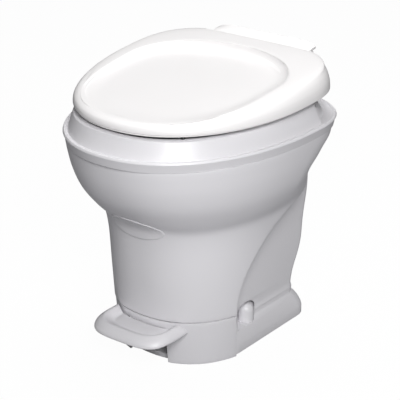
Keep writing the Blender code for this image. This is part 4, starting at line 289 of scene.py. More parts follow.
# Colour, roughness, drift of the colour, long wave, grain, clear coat, metal
RECIPES = {
    "white_plastic": ((0.78, 0.77, 0.795), 0.37, 0.008, 0.012, 0.008, 0.06, 0.0),
    # The lid's white is paler than the body's. That is partly the lid's own paler plastic and partly
    # painted light: the colour is raised to stand in for the extra light on the lid's top.
    "lid_plastic": ((0.92, 0.905, 0.905), 0.36, 0.008, 0.012, 0.008, 0.1, 0.0),
    "bowl_plastic": ((0.82, 0.82, 0.84), 0.14, 0.008, 0.012, 0.008, 0.4, 0.0),
    "black_plastic": ((0.03, 0.03, 0.032), 0.42, 0.15, 0.03, 0.15, 0.0, 0.0),
    "grey_plastic": ((0.30, 0.31, 0.33), 0.38, 0.08, 0.03, 0.10, 0.0, 0.0),
    "nylon": ((0.78, 0.75, 0.68), 0.42, 0.04, 0.03, 0.08, 0.0, 0.0),
    "rubber": ((0.028, 0.028, 0.030), 0.68, 0.20, 0.05, 0.35, 0.0, 0.0),
    "steel": ((0.62, 0.62, 0.63), 0.28, 0.05, 0.02, 0.10, 0.0, 1.0),
    "brass": ((0.72, 0.53, 0.25), 0.30, 0.08, 0.02, 0.10, 0.0, 1.0),
    "clear_hose": ((0.72, 0.76, 0.79), 0.25, 0.03, 0.02, 0.05, 0.3, 0.0),
}
FINISHES = {name: plastic(name, *recipe) for name, recipe in RECIPES.items()}
slots = {row["node"]: row["material_slot"] for row in frame["record"]["subparts"]}
for node_name, node in nodes.items():
    node.data.materials.clear()
    node.data.materials.append(FINISHES[slots[node_name]])
print("finishes:", len(FINISHES))


# %% Hand a finished piece to its body
def dress(item, body, *stands_for, smooth=SHARP_ANGLE):
    """Give a piece its finish, its smooth shading, its body and the nodes that it replaces."""
    slot = slots[stands_for[0]]
    item.data.materials.clear()
    item.data.materials.append(FINISHES[slot])
    only(item)
    bpy.ops.object.shade_smooth_by_angle(angle=math.radians(smooth))
    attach(item, body)
    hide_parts(*stands_for)
    print(item.name, len(item.data.polygons), "faces, stands for", ", ".join(stands_for))
    return item


# %% [markdown]
# ## Sections
# One kind of section serves the whole body: an egg-shaped outline, seen from above, that can be
# squarer in front or behind. It could be a curve drawn by hand at every level. A formula was chosen
# because its eight numbers can be blended from one level to the next. A ring is its points.

# %% Section helpers
OVERALL_WIDTH = 0.387
OVERALL_DEPTH = 0.433
OVERALL_HEIGHT = 0.470
TOUCH_GAP = 0.0003
CUT_OVERRUN = 0.010
JOIN_OVERLAP = 0.002
RING_POINTS = 128
INNER_RING_POINTS = 96
CORNER_STEPS = 12
SIDES = ((-1, "left"), (1, "right"))
Section = namedtuple("Section", "half front rear widest z slope front_power rear_power")


def between(low, high, share):
    return low + (high - low) * share


def ease(share):
    """A smooth start and stop between 0 and 1."""
    return share * share * (3 - 2 * share)


def squarer(value, power):
    """A sine or cosine of an oval: round at the power 2, and squarer above it."""
    return math.copysign(abs(value) ** (2 / power), value)


def smooth_value(table, share):
    """Read a table of (share, value) with a smooth cubic between its rows."""
    if share <= table[0][0]:
        return table[0][1]
    if share >= table[-1][0]:
        return table[-1][1]
    row = max(index for index in range(len(table) - 1) if table[index][0] <= share)

    def slope(index):
        before = table[max(index - 1, 0)]
        after = table[min(index + 1, len(table) - 1)]
        return (after[1] - before[1]) / (after[0] - before[0])

    low, high = table[row], table[row + 1]
    span = high[0] - low[0]
    part = (share - low[0]) / span
    return (low[1] * (1 + 2 * part) * (1 - part) ** 2 + high[1] * part ** 2 * (3 - 2 * part)
            + slope(row) * span * part * (1 - part) ** 2
            - slope(row + 1) * span * part ** 2 * (1 - part))


def egg_ring(section, count=RING_POINTS):
    """Points of an egg-shaped section, rounder or squarer in front and behind by its powers."""
    ring = []
    for step in range(count):
        angle = math.tau * step / count
        across, along = math.cos(angle), math.sin(angle)
        if along < 0:
            reach, power = section.widest - section.front, section.front_power
        else:
            reach, power = section.rear - section.widest, section.rear_power
        y = section.widest + reach * squarer(along, power)
        ring.append(Vector((section.half * squarer(across, power), y,
                            section.z + section.slope * (y - section.front))))
    return ring


def inset(section, amount, z):
    """The same section drawn in all round, at another height."""
    return section._replace(half=section.half - amount, front=section.front + amount,
                            rear=section.rear - amount, z=z)


def corner_ring(half, front, rear, corner, z, steps=CORNER_STEPS):
    """A rectangle with round corners, counter-clockwise from the front right."""
    centres = ((half - corner, front + corner, -90), (half - corner, rear - corner, 0),
               (corner - half, rear - corner, 90), (corner - half, front + corner, 180))
    ring = []
    for x, y, start in centres:
        for step in range(steps + 1):
            angle = math.radians(start + 90 * step / steps)
            ring.append(Vector((x + corner * math.cos(angle), y + corner * math.sin(angle), z)))
    return ring


def egg_y(section, x):
    """The front edge's Y at a given X of an egg-shaped section."""
    share = min(abs(x) / section.half, 1.0)
    reach = section.widest - section.front
    return section.widest - reach * (1 - share ** section.front_power) ** (1 / section.front_power)


# %% [markdown]
# ## Rim collar
# The collar is one moulding: a flange with a drop lip, a band that leans in to a flat crest, and a
# deck at the rear where the hinges stand. The band stops where the deck begins. One stack of rings
# could draw flange and band together, but not the band's open end, so the band is a form of its
# own, trimmed at the deck and then joined.

# %% Collar sizes
DROP_LIP_INSET = 0.0040
COLLAR_FLOOR_RISE = 0.0060
FLANGE_THICKNESS = 0.0095
FLANGE_TOP_INSET = 0.0010
BAND_FOOT_INSET = 0.0055
BAND_DRAFT = 0.0165
CREST_WIDTH = 0.013
CREST_ROUND = 0.0025
BAND_FRONT_POWER = 2.37
DECK_HEIGHT = 0.017
DECK_SLOPE_RUN = 0.0075
DECK_EDGE_INSET = 0.0200
LIP_GROOVE_INSET = 0.0050
BAND_END_Y = 0.1020
MOUTH_FLARE = 0.0045
SHELL_WALL = 0.0030
PIN_CLEARANCE = 0.0003
POST_X = 0.1020
STUD_Y = 0.1620
STUD_RADIUS = 0.0030
FLANGE = Section(half=0.1935, front=-0.2165, rear=0.2165, widest=0.061, z=0.378, slope=0.0,
                 front_power=2.16, rear_power=2.9)
MOUTH = Section(half=0.148, front=-0.175, rear=0.118, widest=0.03, z=0.378, slope=0.0,
                front_power=2.25, rear_power=2.25)
COLLAR_FLOOR_Z = FLANGE.z - COLLAR_FLOOR_RISE
DROP_LIP_Z = 0.3640
DECK_Z = FLANGE.z + DECK_HEIGHT
CREST_Z = 0.4080
print("flange at", round(FLANGE.z, 4), "deck at", round(DECK_Z, 4), "crest at", round(CREST_Z, 4))


# %% Collar
def make_rim_collar():
    lip_inside = inset(FLANGE, DROP_LIP_INSET + SHELL_WALL, DROP_LIP_Z)
    deck_edge = inset(FLANGE, DECK_EDGE_INSET + DECK_SLOPE_RUN, DECK_Z)
    flange_top = FLANGE.z + FLANGE_THICKNESS - COLLAR_FLOOR_RISE
    rings = [
        inset(FLANGE, DROP_LIP_INSET, DROP_LIP_Z),
        inset(FLANGE, DROP_LIP_INSET / 2, FLANGE.z - DROP_LIP_INSET),
        FLANGE,
        inset(FLANGE, FLANGE_TOP_INSET, flange_top - FLANGE_TOP_INSET),
        inset(FLANGE, 2 * FLANGE_TOP_INSET, flange_top),
        inset(FLANGE, LIP_GROOVE_INSET, flange_top),
        inset(FLANGE, LIP_GROOVE_INSET + FLANGE_TOP_INSET, flange_top - FLANGE_TOP_INSET),
        inset(FLANGE, DECK_EDGE_INSET, flange_top - FLANGE_TOP_INSET),
        deck_edge,
        inset(MOUTH, -MOUTH_FLARE, DECK_Z),
        inset(MOUTH, 0.0, DECK_Z - MOUTH_FLARE),
        inset(MOUTH, 0.0, COLLAR_FLOOR_Z),
        inset(lip_inside, 0.0, COLLAR_FLOOR_Z),
        lip_inside,
    ]
    collar = loft("rim_collar", [egg_ring(ring) for ring in rings], looped=True)

    band_foot = inset(FLANGE, BAND_FOOT_INSET, COLLAR_FLOOR_Z + JOIN_OVERLAP)
    band_top = inset(FLANGE, BAND_FOOT_INSET + BAND_DRAFT, CREST_Z - CREST_ROUND)
    band_top = band_top._replace(front_power=BAND_FRONT_POWER)
    crest_out = inset(band_top, CREST_ROUND, CREST_Z)
    crest_in = inset(band_top, CREST_WIDTH, CREST_Z)
    band_rings = [
        band_foot,
        band_top,
        inset(band_top, CREST_ROUND / 3, CREST_Z - CREST_ROUND / 3),
        crest_out,
        crest_in,
        inset(crest_in, CREST_ROUND, CREST_Z - CREST_ROUND),
        inset(MOUTH, -MOUTH_FLARE - JOIN_OVERLAP, DECK_Z - JOIN_OVERLAP),
        inset(MOUTH, -MOUTH_FLARE - JOIN_OVERLAP, COLLAR_FLOOR_Z + JOIN_OVERLAP),
    ]
    band = loft("band_form", [egg_ring(ring) for ring in band_rings], looped=True)
    cut(band, box("band_end_cut", (-OVERALL_WIDTH, BAND_END_Y, FLANGE.z - CUT_OVERRUN),
                  (OVERALL_WIDTH, OVERALL_DEPTH, OVERALL_HEIGHT)))
    join(collar, band)
    for side, name in SIDES:
        drill(collar, "hinge_stud_hole_" + name, STUD_RADIUS + PIN_CLEARANCE,
              (side * POST_X, STUD_Y, COLLAR_FLOOR_Z - CUT_OVERRUN),
              DECK_HEIGHT + COLLAR_FLOOR_RISE + 2 * CUT_OVERRUN, "Z", FINE_BAR_STEPS)
    return collar


dress(soften(make_rim_collar(), width=0.0009), "pedestal", "rim_collar")

# %% [markdown]
# ## Pedestal shell
# The shell swells from a straight column to the width of the flange, and its rear edge follows an
# elliptical sweep, so the recessed rear body shows behind it. It could be a subdivided cage, but
# the swell then needs many control points. Here one table gives the swell at each height, and a
# single prism along X cuts the sweep through both walls at once.

# %% Shell sizes
SEAM_Z = 0.0790
SHELL_TOP_INSET = 0.0050
SHELL_FRONT_POWER = 2.27
SHELL_REAR = 0.2060
COLUMN_HALF = 0.1282
COLUMN_FRONT = -0.1219
COLUMN_WIDEST_Y = 0.0339
SHELL_TOP_FRONT = -0.2080
# Share of the height, and share of the way from the column to the flange
SWELL_SHARES = ((0.0, 0.0), (0.214, 0.051), (0.425, 0.101), (0.53, 0.166), (0.575, 0.239),
                (0.642, 0.454), (0.74, 0.713), (0.846, 0.877), (0.951, 0.970), (1.0, 1.0))
REAR_ROUND_SHARES = ((0.0, 2.9), (0.565, 2.9), (0.60, 2.6), (0.642, 2.3), (0.688, 2.0),
                     (0.74, 1.83), (0.793, 1.83), (0.846, 2.1), (0.898, 2.4), (0.951, 2.85), (1.0, 2.9))
SWEEP_REAR_Y = 0.2300
SWEEP_FOOT_Y = -0.0325
SWEEP_FOOT_Z = 0.0840
SWEEP_TOP_Z = 0.2580
SWEEP_POWER = 2.12
SWEEP_FLOOR_Y = -0.0230
BASE_WALL = 0.0040
BASE_TOP_HALF = 0.1270
BASE_TOP_FRONT = -0.1200
BASE_WIDEST_Y = 0.0330
BASE_FLOOR_HALF = 0.1205
BASE_FLOOR_FRONT = -0.1125
BASE_POWER = 2.3
OPENING_HALF_WIDTH = 0.0389
OPENING_HEIGHT = 0.0640
OPENING_EDGE = 0.0040
SHELL_RINGS = 57
SWEEP_STEPS = 64
print("seam at", SEAM_Z, "shell top at", round(DROP_LIP_Z, 4))


# %% Sections of the column and the sweep behind it
def shell_section(share):
    """The pedestal's outer section at a share of the height from the seam to the flange."""
    swell = smooth_value(SWELL_SHARES, share)
    top_half = OVERALL_WIDTH / 2 - SHELL_TOP_INSET
    return Section(between(COLUMN_HALF, top_half, swell),
                   between(COLUMN_FRONT, SHELL_TOP_FRONT, swell),
                   SHELL_REAR,
                   between(COLUMN_WIDEST_Y, FLANGE.widest, swell),
                   SEAM_Z + TOUCH_GAP + (DROP_LIP_Z - 2 * TOUCH_GAP - SEAM_Z) * share, 0.0,
                   SHELL_FRONT_POWER, smooth_value(REAR_ROUND_SHARES, share))


def base_section(share, wall=0.0):
    """The base front's section at a share of the height from the floor to the seam."""
    return Section(between(BASE_FLOOR_HALF, BASE_TOP_HALF, share) - wall,
                   between(BASE_FLOOR_FRONT, BASE_TOP_FRONT, share) + wall,
                   SHELL_REAR - wall, BASE_WIDEST_Y, SEAM_Z * share, 0.0, BASE_POWER, BASE_POWER)


def sweep_form(name, offset=0.0):
    """A prism of everything behind the shell's swept edge, moved back by offset."""
    outline = []
    for step in range(SWEEP_STEPS + 1):
        angle = math.pi / 2 * step / SWEEP_STEPS
        run = math.cos(angle) ** (2 / SWEEP_POWER)
        rise = math.sin(angle) ** (2 / SWEEP_POWER)
        outline.append((SWEEP_REAR_Y - (SWEEP_REAR_Y - SWEEP_FOOT_Y - offset) * run,
                        SWEEP_FOOT_Z + (SWEEP_TOP_Z - SWEEP_FOOT_Z - offset) * rise))
    outline.append((SWEEP_REAR_Y + CUT_OVERRUN, SWEEP_TOP_Z - offset))
    outline.append((SWEEP_REAR_Y + CUT_OVERRUN, -CUT_OVERRUN))
    outline.append((SWEEP_FLOOR_Y + offset, -CUT_OVERRUN))
    return solid_outline(name, outline[::-1], -OVERALL_WIDTH, OVERALL_WIDTH)


# %% Shell
def make_pedestal_shell():
    levels = [shell_section(step / (SHELL_RINGS - 1)) for step in range(SHELL_RINGS)]
    rings = [egg_ring(level) for level in levels]
    rings += [egg_ring(inset(level, SHELL_WALL, level.z)) for level in reversed(levels[::2])]
    return cut(loft("pedestal_shell", rings, looped=True), sweep_form("shell_sweep_cut"))


dress(soften(make_pedestal_shell(), width=0.0008), "pedestal", "pedestal_shell")

# %% [markdown]
# ## Base front
# Below the seam the front goes on as a separate moulding, with an opening for the pedal's arm. The
# seam could be a dark line in the material, but a real line is a gap: so the moulding steps in by a
# rebate at its top. The same sweep trims its rear, and a box with round corners cuts the opening.

# %% Base front
SEAM_REBATE_HEIGHT = 0.0025
SEAM_REBATE_DEPTH = 0.0026
SEAM_REBATE_SHARE = 1 - SEAM_REBATE_HEIGHT / SEAM_Z
BASE_RINGS = 13


def make_base_front():
    shares = [SEAM_REBATE_SHARE * step / (BASE_RINGS - 1) for step in range(BASE_RINGS)]
    outside = [base_section(share) for share in shares]
    outside += [inset(base_section(share), SEAM_REBATE_DEPTH, SEAM_Z * share)
                for share in (SEAM_REBATE_SHARE, 1.0)]
    inside = [base_section(share, BASE_WALL) for share in [1.0] + shares[::-1]]
    front = loft("base_front_skin", [egg_ring(section) for section in outside + inside], looped=True)
    cut(front, sweep_form("base_sweep_cut"))
    return cut(front, box("pedal_opening_cut", (-OPENING_HALF_WIDTH, 2 * BASE_TOP_FRONT, -CUT_OVERRUN),
                          (OPENING_HALF_WIDTH, 0.0, OPENING_HEIGHT), OPENING_EDGE))


dress(soften(make_base_front(), width=0.0005), "pedestal", "base_front")

# %% [markdown]
# ## Oval pad
# A thin oval pad lies on the neck and follows its curve. Its face is bare. A flat oval could be
# shrink-wrapped on the shell, but its edge would catch on the facets. So each of its points is laid
# on the shell's own formula, and lifted by the pad's rise.

# %% Pad
PAD_HALF_WIDTH = 0.0530
PAD_HALF_HEIGHT = 0.0200
PAD_Z = 0.2390
PAD_SINK = 0.0002
PAD_RISE = 0.0015
PAD_MIDDLE_SHARE = 0.02
PAD_RINGS = 13
# Share of the oval, and share of the rise that its soft edge has reached there
PAD_EDGE_SHARES = ((1.0, 0.05), (0.99, 0.35), (0.975, 0.68), (0.955, 0.88), (0.93, 0.97), (0.90, 1.0))


def neck_y(x, z):
    """The front of the neck at a place, found level by level."""
    share = (z - SEAM_Z - TOUCH_GAP) / (DROP_LIP_Z - 2 * TOUCH_GAP - SEAM_Z)
    return egg_y(shell_section(share), x)


def make_badge_pad():
    rows = []
    shares = [PAD_MIDDLE_SHARE + (1 - PAD_MIDDLE_SHARE) * step / (PAD_RINGS - 1)
              for step in range(PAD_RINGS)]
    levels = [(share, -PAD_SINK) for share in shares]
    levels += [(share, PAD_SINK + PAD_RISE * rise) for share, rise in PAD_EDGE_SHARES]
    levels += [(share, PAD_SINK + PAD_RISE) for share in reversed(shares)
               if share < PAD_EDGE_SHARES[-1][0]]
    for share, lift in levels:
        ring = []
        for step in range(RING_POINTS):
            angle = math.tau * step / RING_POINTS
            x = PAD_HALF_WIDTH * share * math.cos(angle)
            z = PAD_Z + PAD_HALF_HEIGHT * share * math.sin(angle)
            ring.append(Vector((x, neck_y(x, z) - lift, z)))
        rows.append(ring)
    return loft("oval_pad", rows)


dress(make_badge_pad(), "pedestal", "badge_pad", smooth=60.0)

# %% [markdown]
# ## Foot and rear body
# The foot is a low sled that the rear body stands in. Its skin rolls from an upright edge over a
# soft shoulder to a fillet. A bevel could round it, but the shoulder is broader behind than at the
# sides, so rings draw it. Each side has a slanted tunnel, so that a spanner reaches the floor bolt:
# one arched form, larger for the tunnel's walls and true for its hollow, serves both pieces.

# %% Foot sizes
FOOT_HALF = 0.1115
FOOT_HEIGHT = 0.0400
FOOT_REAR = 0.1920
FOOT_FRONT = -0.0450
FOOT_CORNER = 0.0300
FOOT_WALL = 0.0040
CURB_HALF = 0.1003
CURB_REAR = 0.1570
CURB_CORNER = 0.0180
CURB_TOP_Z = 0.0535
CURB_WALL = 0.0030
TONGUE_HEIGHT = 0.0080
TONGUE_INSET = 0.0080
TONGUE_REAR_Y = -0.0150
OUTLET_Y = 0.0550
BOLT_HALF_SPACING = 0.0762
NICHE_RADIUS = 0.0135
NICHE_FLOOR_Z = 0.0245
NICHE_TOP_Z = 0.0780
NICHE_TURN = math.radians(-55.5)
NICHE_REACH = 0.0700
NICHE_ROUND_STEPS = 8
NICHE_ARCH_SHARES = (0.25, 0.5, 0.72, 0.9)
SEAL_POCKET_RADIUS = 0.0620
SEAL_POCKET_DEPTH = 0.0120
REAR_CORNER = 0.0200
SPIGOT_RADIUS = 0.0445
BOLT_RADIUS = 0.0032
print("foot", 2 * FOOT_HALF, "wide")


# %% Forms that foot and rear body share
def niche_form(name, side, radius, top_z, floor_z):
    """An arched tunnel from a floor bolt towards the front and side, where a spanner goes in."""
    spring_z = top_z - radius
    levels = [(radius, floor_z), (radius, spring_z)]
    for share in NICHE_ARCH_SHARES:
        angle = math.pi / 2 * share
        levels.append((radius * math.cos(angle), spring_z + radius * math.sin(angle)))
    rings = []
    for half, z in levels:
        ring = []
        for step in range(NICHE_ROUND_STEPS + 1):
            angle = NICHE_TURN + math.pi / 2 + math.pi * step / NICHE_ROUND_STEPS
            ring.append((half * math.cos(angle), half * math.sin(angle)))
        for turn in (-math.pi / 2, math.pi / 2):
            angle = NICHE_TURN + turn
            ring.append((half * math.cos(angle) + NICHE_REACH * math.cos(NICHE_TURN),
                         half * math.sin(angle) + NICHE_REACH * math.sin(NICHE_TURN)))
        rings.append([Vector((side * (BOLT_HALF_SPACING + x), OUTLET_Y + y, z)) for x, y in ring])
    return loft(name, rings)


# %% Shoulder and bolt pocket sizes
SHOULDER_LOW_Z = 0.0120
SHOULDER_TOP_Z = 0.0460
SHOULDER_POWER = 1.3
SHOULDER_SIDE_RUN = 0.0090
SHOULDER_REAR_RUN = 0.0265
SHOULDER_CORNER = 0.0340
SHOULDER_CORNER_TOP = 0.0280
SHOULDER_RINGS = 15
SHOULDER_SPACING_POWER = 1.5
SHOULDER_CORNER_STEPS = 16
# Beyond the shoulder: share of its run, and share of the height left to the curb's top
FILLET_SHARES = ((1.025, 0.22), (1.042, 0.5), (1.05, 1.0))
# Half width, rear, corner and height of the rings of the hollow
HOLLOW_LEVELS = ((0.1035, 0.1840, 0.0220, -0.0100), (0.1032, 0.18352, 0.02191, 0.0200),
                 (0.1015, 0.1808, 0.0214, 0.0250))
HOLLOW_CORNER_STEPS = 3
PLUG_REACH = 0.0280
PLUG_FLOOR_Z = 0.0372
PLUG_HEIGHT = 0.0312
print("shoulder from", SHOULDER_LOW_Z, "to", SHOULDER_TOP_Z)


# %% Foot
def shoulder_ring(run_share, z, corner):
    return corner_ring(FOOT_HALF - SHOULDER_SIDE_RUN * run_share, FOOT_FRONT,
                       FOOT_REAR - SHOULDER_REAR_RUN * run_share, corner, z, SHOULDER_CORNER_STEPS)


def make_base_foot():
    rings = [shoulder_ring(0.0, z, SHOULDER_CORNER) for z in (0.0, SHOULDER_LOW_Z / 2)]
    for step in range(SHOULDER_RINGS):
        share = (step / (SHOULDER_RINGS - 1)) ** SHOULDER_SPACING_POWER
        rise = (1 - (1 - share) ** SHOULDER_POWER) ** (1 / SHOULDER_POWER)
        rings.append(shoulder_ring(share, between(SHOULDER_LOW_Z, SHOULDER_TOP_Z, rise),
                                   between(SHOULDER_CORNER, SHOULDER_CORNER_TOP, share)))
    for run_share, rise in FILLET_SHARES:
        rings.append(shoulder_ring(run_share, between(SHOULDER_TOP_Z, CURB_TOP_Z, rise),
                                   between(SHOULDER_CORNER_TOP, REAR_CORNER, rise)))
    foot = loft("foot_skin", rings)
    combine(foot, sweep_form("foot_front_trim", 2 * TOUCH_GAP), "INTERSECT")
    inside = [corner_ring(CURB_HALF - CURB_WALL, 2 * FOOT_FRONT, CURB_REAR - CURB_WALL,
                          CURB_CORNER - CURB_WALL, z)
              for z in (FOOT_HEIGHT, CURB_TOP_Z + CUT_OVERRUN)]
    cut(foot, loft("curb_inside", inside))
    front_y = FOOT_FRONT + FOOT_CORNER + 2 * CUT_OVERRUN
    hollow_rings = []
    for half, rear, corner, z in HOLLOW_LEVELS:
        ring = corner_ring(half, FOOT_FRONT, rear, corner, z, HOLLOW_CORNER_STEPS)
        hollow_rings.append([Vector((x, max(y, front_y), z)) for x, y, z in ring])
    hollow = loft("foot_hollow", hollow_rings)
    drill(hollow, "foot_outlet_boss", SEAL_POCKET_RADIUS + FOOT_WALL,
          (0.0, OUTLET_Y, -2 * CUT_OVERRUN), OVERALL_HEIGHT, "Z")
    for side, name in SIDES:
        cut(hollow, niche_form("foot_bolt_post_" + name, side, NICHE_RADIUS + FOOT_WALL, OVERALL_HEIGHT,
                               -2 * CUT_OVERRUN))
    cut(foot, hollow)
    tongue_section = base_section(0.0, BASE_WALL + TONGUE_INSET)
    tongue = loft("foot_tongue", [egg_ring(tongue_section),
                                  egg_ring(tongue_section._replace(z=TONGUE_HEIGHT))])
    cut(tongue, box("tongue_rear_cut", (-OVERALL_WIDTH, TONGUE_REAR_Y, -CUT_OVERRUN),
                    (OVERALL_WIDTH, OVERALL_DEPTH, FOOT_HEIGHT)))
    join(foot, tongue)
    drill(foot, "foot_outlet_cut", SPIGOT_RADIUS + TOUCH_GAP, (0.0, OUTLET_Y, -CUT_OVERRUN),
          FOOT_HEIGHT + 2 * CUT_OVERRUN, "Z")
    drill(foot, "foot_seal_pocket", SEAL_POCKET_RADIUS, (0.0, OUTLET_Y, -CUT_OVERRUN),
          SEAL_POCKET_DEPTH + CUT_OVERRUN, "Z")
    for side, name in SIDES:
        place = (side * BOLT_HALF_SPACING, OUTLET_Y)
        cut(foot, niche_form("foot_niche_" + name, side, NICHE_RADIUS, NICHE_TOP_Z, PLUG_FLOOR_Z))
        drill(foot, "foot_bolt_pocket_" + name, NICHE_RADIUS, (*place, NICHE_FLOOR_Z),
              FOOT_HEIGHT, "Z")
        drill(foot, "foot_bolt_hole_" + name, BOLT_RADIUS + PIN_CLEARANCE, (*place, -CUT_OVERRUN),
              FOOT_HEIGHT, "Z", FINE_BAR_STEPS)
    return foot


dress(soften(make_base_foot(), width=0.0008), "pedestal", "base_foot", smooth=38.0)

# %% Rear body sizes
REAR_HALF = 0.1020
REAR_FRONT = -0.0700
REAR_OPEN_Y = -0.0430
REAR_WALL = 0.0030
REAR_DEPTH = 0.2047
REAR_TOP_Z = 0.2480
REAR_FLARE = 0.0015
REAR_FLARE_HEIGHT = 0.0080
# Share of the height, and share of the depth
REAR_PROFILE_SHARES = ((0.0, 0.772), (0.06, 0.776), (0.16, 0.786), (0.255, 0.824), (0.34, 0.878),
                       (0.40, 0.921), (0.54, 0.931), (0.69, 0.951), (0.89, 1.0), (1.0, 1.0))
INLET_Z = 0.2180
INLET_X = 0.0667
INLET_START_Y = 0.1090
INLET_RADIUS = 0.0080
REAR_EASE_HEIGHT = 0.0220
REAR_EASE_STEPS = 8
REAR_STEPS = 32
FLARE_MIDDLE_SHARE = 0.8
print("rear body up to", REAR_TOP_Z)


# %% Rear body
def rear_y(z):
    """The rear face's Y at a height. Heights beyond the table take its end values."""
    share = (z - FOOT_HEIGHT) / (REAR_TOP_Z - FOOT_HEIGHT)
    return REAR_DEPTH * smooth_value(REAR_PROFILE_SHARES, share)


def make_rear_body():
    low_z = CURB_TOP_Z + TOUCH_GAP
    wall_low_z = FOOT_HEIGHT + TOUCH_GAP
    levels = [(low_z, REAR_FLARE), (low_z + REAR_FLARE_HEIGHT / 2, REAR_FLARE * FLARE_MIDDLE_SHARE),
              (low_z + REAR_FLARE_HEIGHT, 0.0)]
    for step in range(1, REAR_STEPS + 1):
        levels.append((levels[2][0] + (REAR_TOP_Z - levels[2][0]) * step / REAR_STEPS, 0.0))
    # The mean over a span of heights takes the kinks out of the rear profile.
    spans = [step / REAR_EASE_STEPS * REAR_EASE_HEIGHT
             for step in range(-REAR_EASE_STEPS, REAR_EASE_STEPS + 1)]
    rears = [sum(rear_y(min(REAR_TOP_Z, max(low_z, z + span))) for span in spans) / len(spans)
             for z, flare in levels]
    outside = [corner_ring(REAR_HALF + flare, REAR_FRONT, rear + flare, REAR_CORNER, z)
               for (z, flare), rear in zip(levels, rears)]
    inside = [corner_ring(REAR_HALF + flare - REAR_WALL, REAR_FRONT + REAR_WALL,
                          rear + flare - REAR_WALL, REAR_CORNER - REAR_WALL, z)
              for (z, flare), rear in reversed(list(zip(levels, rears)))]
    body = loft("rear_body_skin", outside + inside, looped=True)
    for side, name in SIDES:
        wall = niche_form("niche_wall_" + name, side, NICHE_RADIUS + REAR_WALL,
                          NICHE_TOP_Z + REAR_WALL, wall_low_z)
        outer = (side * (REAR_HALF - REAR_WALL / 2), side * OVERALL_WIDTH)
        cut(wall, box("niche_trim_" + name, (min(outer), -OVERALL_DEPTH, -CUT_OVERRUN),
                      (max(outer), OVERALL_DEPTH, OVERALL_HEIGHT)))
        join(body, wall)
        cut(body, niche_form("niche_cut_" + name, side, NICHE_RADIUS, NICHE_TOP_Z,
                             wall_low_z - CUT_OVERRUN))
    cut(body, box("rear_front_cut", (-OVERALL_WIDTH, -OVERALL_DEPTH, -CUT_OVERRUN),
                  (OVERALL_WIDTH, REAR_OPEN_Y, OVERALL_HEIGHT)))
    return drill(body, "inlet_hole", INLET_RADIUS + 2 * PIN_CLEARANCE,
                 (INLET_X, INLET_START_Y, INLET_Z), OVERALL_DEPTH, "Y")


dress(soften(make_rear_body(), width=0.0008), "pedestal", "rear_body")

# %% [markdown]
# ## Bolt caps
# A push-on cap hides each floor bolt. It is a small dome on a straight skirt, open below, and drawn
# out along the niche, so that its nose stands in the arch. A stretched sphere would lose its round
# nose and its even wall. So half of each ring is moved along the niche, and the other half stays.

# %% Bolt caps
CAP_WALL = 0.0015
CAP_RADIUS = 0.0131
CAP_FOOT_SHARE = 1.04
CAP_TIP_SHARE = 0.02
CAP_DOME_STEPS = 12
CAP_POINTS = 64


def cap_rings(radius, side):
    """A dome drawn out along the niche, from its open foot to its tip."""
    crown = PLUG_HEIGHT - CAP_RADIUS
    rows = [(radius * CAP_FOOT_SHARE, 0.0), (radius, crown)]
    for step in range(1, CAP_DOME_STEPS):
        angle = math.pi / 2 * step / CAP_DOME_STEPS
        rows.append((radius * math.cos(angle), crown + radius * math.sin(angle)))
    rows.append((radius * CAP_TIP_SHARE, crown + radius))
    rings = []
    for size, z in rows:
        ring = []
        for step in range(CAP_POINTS):
            angle = math.tau * (step + 0.5) / CAP_POINTS
            reach = PLUG_REACH if math.cos(angle) > 0 else 0.0
            along = reach + size * math.cos(angle)
            across = size * math.sin(angle)
            x = along * math.cos(NICHE_TURN) - across * math.sin(NICHE_TURN)
            y = along * math.sin(NICHE_TURN) + across * math.cos(NICHE_TURN)
            ring.append(Vector((side * (BOLT_HALF_SPACING + x), OUTLET_Y + y,
                                PLUG_FLOOR_Z + TOUCH_GAP + z)))
        rings.append(ring if side > 0 else ring[::-1])
    return rings


for side, name in SIDES:
    outside = cap_rings(CAP_RADIUS, side)
    cap = loft("dome_cap_" + name, outside[::-1] + cap_rings(CAP_RADIUS - CAP_WALL, side))
    dress(cap, "pedestal", "bolt_cap_" + name, smooth=50.0)

# %% [markdown]
# ## Pedal
# The pedal is a shallow scoop: a rolled rim that rises into two wings beside the column, a basin
# for the toes, and an arm that goes through the opening to its pin. It could be sculpted from a
# plate. Rings were chosen, because a point's height in its ring can depend on where the point is,
# so one function raises the wings, and a smooth curve through the rings rolls the rim.

# %% Pedal sizes
PEDAL_HALF = 0.0740
PEDAL_MIDDLE_Y = -0.1180
PEDAL_REAR_Y = -0.0700
PEDAL_GAP = 0.0035
PEDAL_CREST_Z = 0.0710
PEDAL_WING_Z = 0.0745
PEDAL_FLOOR_Z = 0.0645
PEDAL_WING_WIDTH = 0.0135
PEDAL_BASIN_SLOPE = 0.02
PEDAL_WING_RUN = 0.0400
PEDAL_EDGE_LIFT = 0.0035
PEDAL_MIDDLE_SHARE = 3.0
PEDAL_PLATE = 0.0040
PEDAL_ARM_HALF = 0.0300
PEDAL_ARM_TOP_Z = 0.0632
PEDAL_ARM_HEIGHT = 0.0130
PEDAL_AXIS_Y = -0.0550
PEDAL_AXIS_Z = 0.0620
PIN_RADIUS = 0.0040
HUB_RADIUS = 0.0100
STOP_Y = -0.1560
HUB_RIGHT = 0.0657
# From the outside round to the basin: rim widths in, and share of the rim's rise
PEDAL_RIM_SHARES = ((0.03, 0.0), (0.0, 0.16), (0.10, 0.42), (0.36, 0.72), (0.75, 0.96), (1.0, 1.0),
                    (1.28, 0.86))
PEDAL_POINTS = 128
PEDAL_FRONT = -0.1830
PEDAL_POWER = 3.5
PEDAL_EDGE_Z = 0.0565
PEDAL_RIM_WIDTH = 0.0150
# How far the rings under the tray and on its basin stand inside the rim, in rim widths
PEDAL_UNDER_SHARE = 1.5
PEDAL_BASIN_SHARES = (1.9, 2.3)
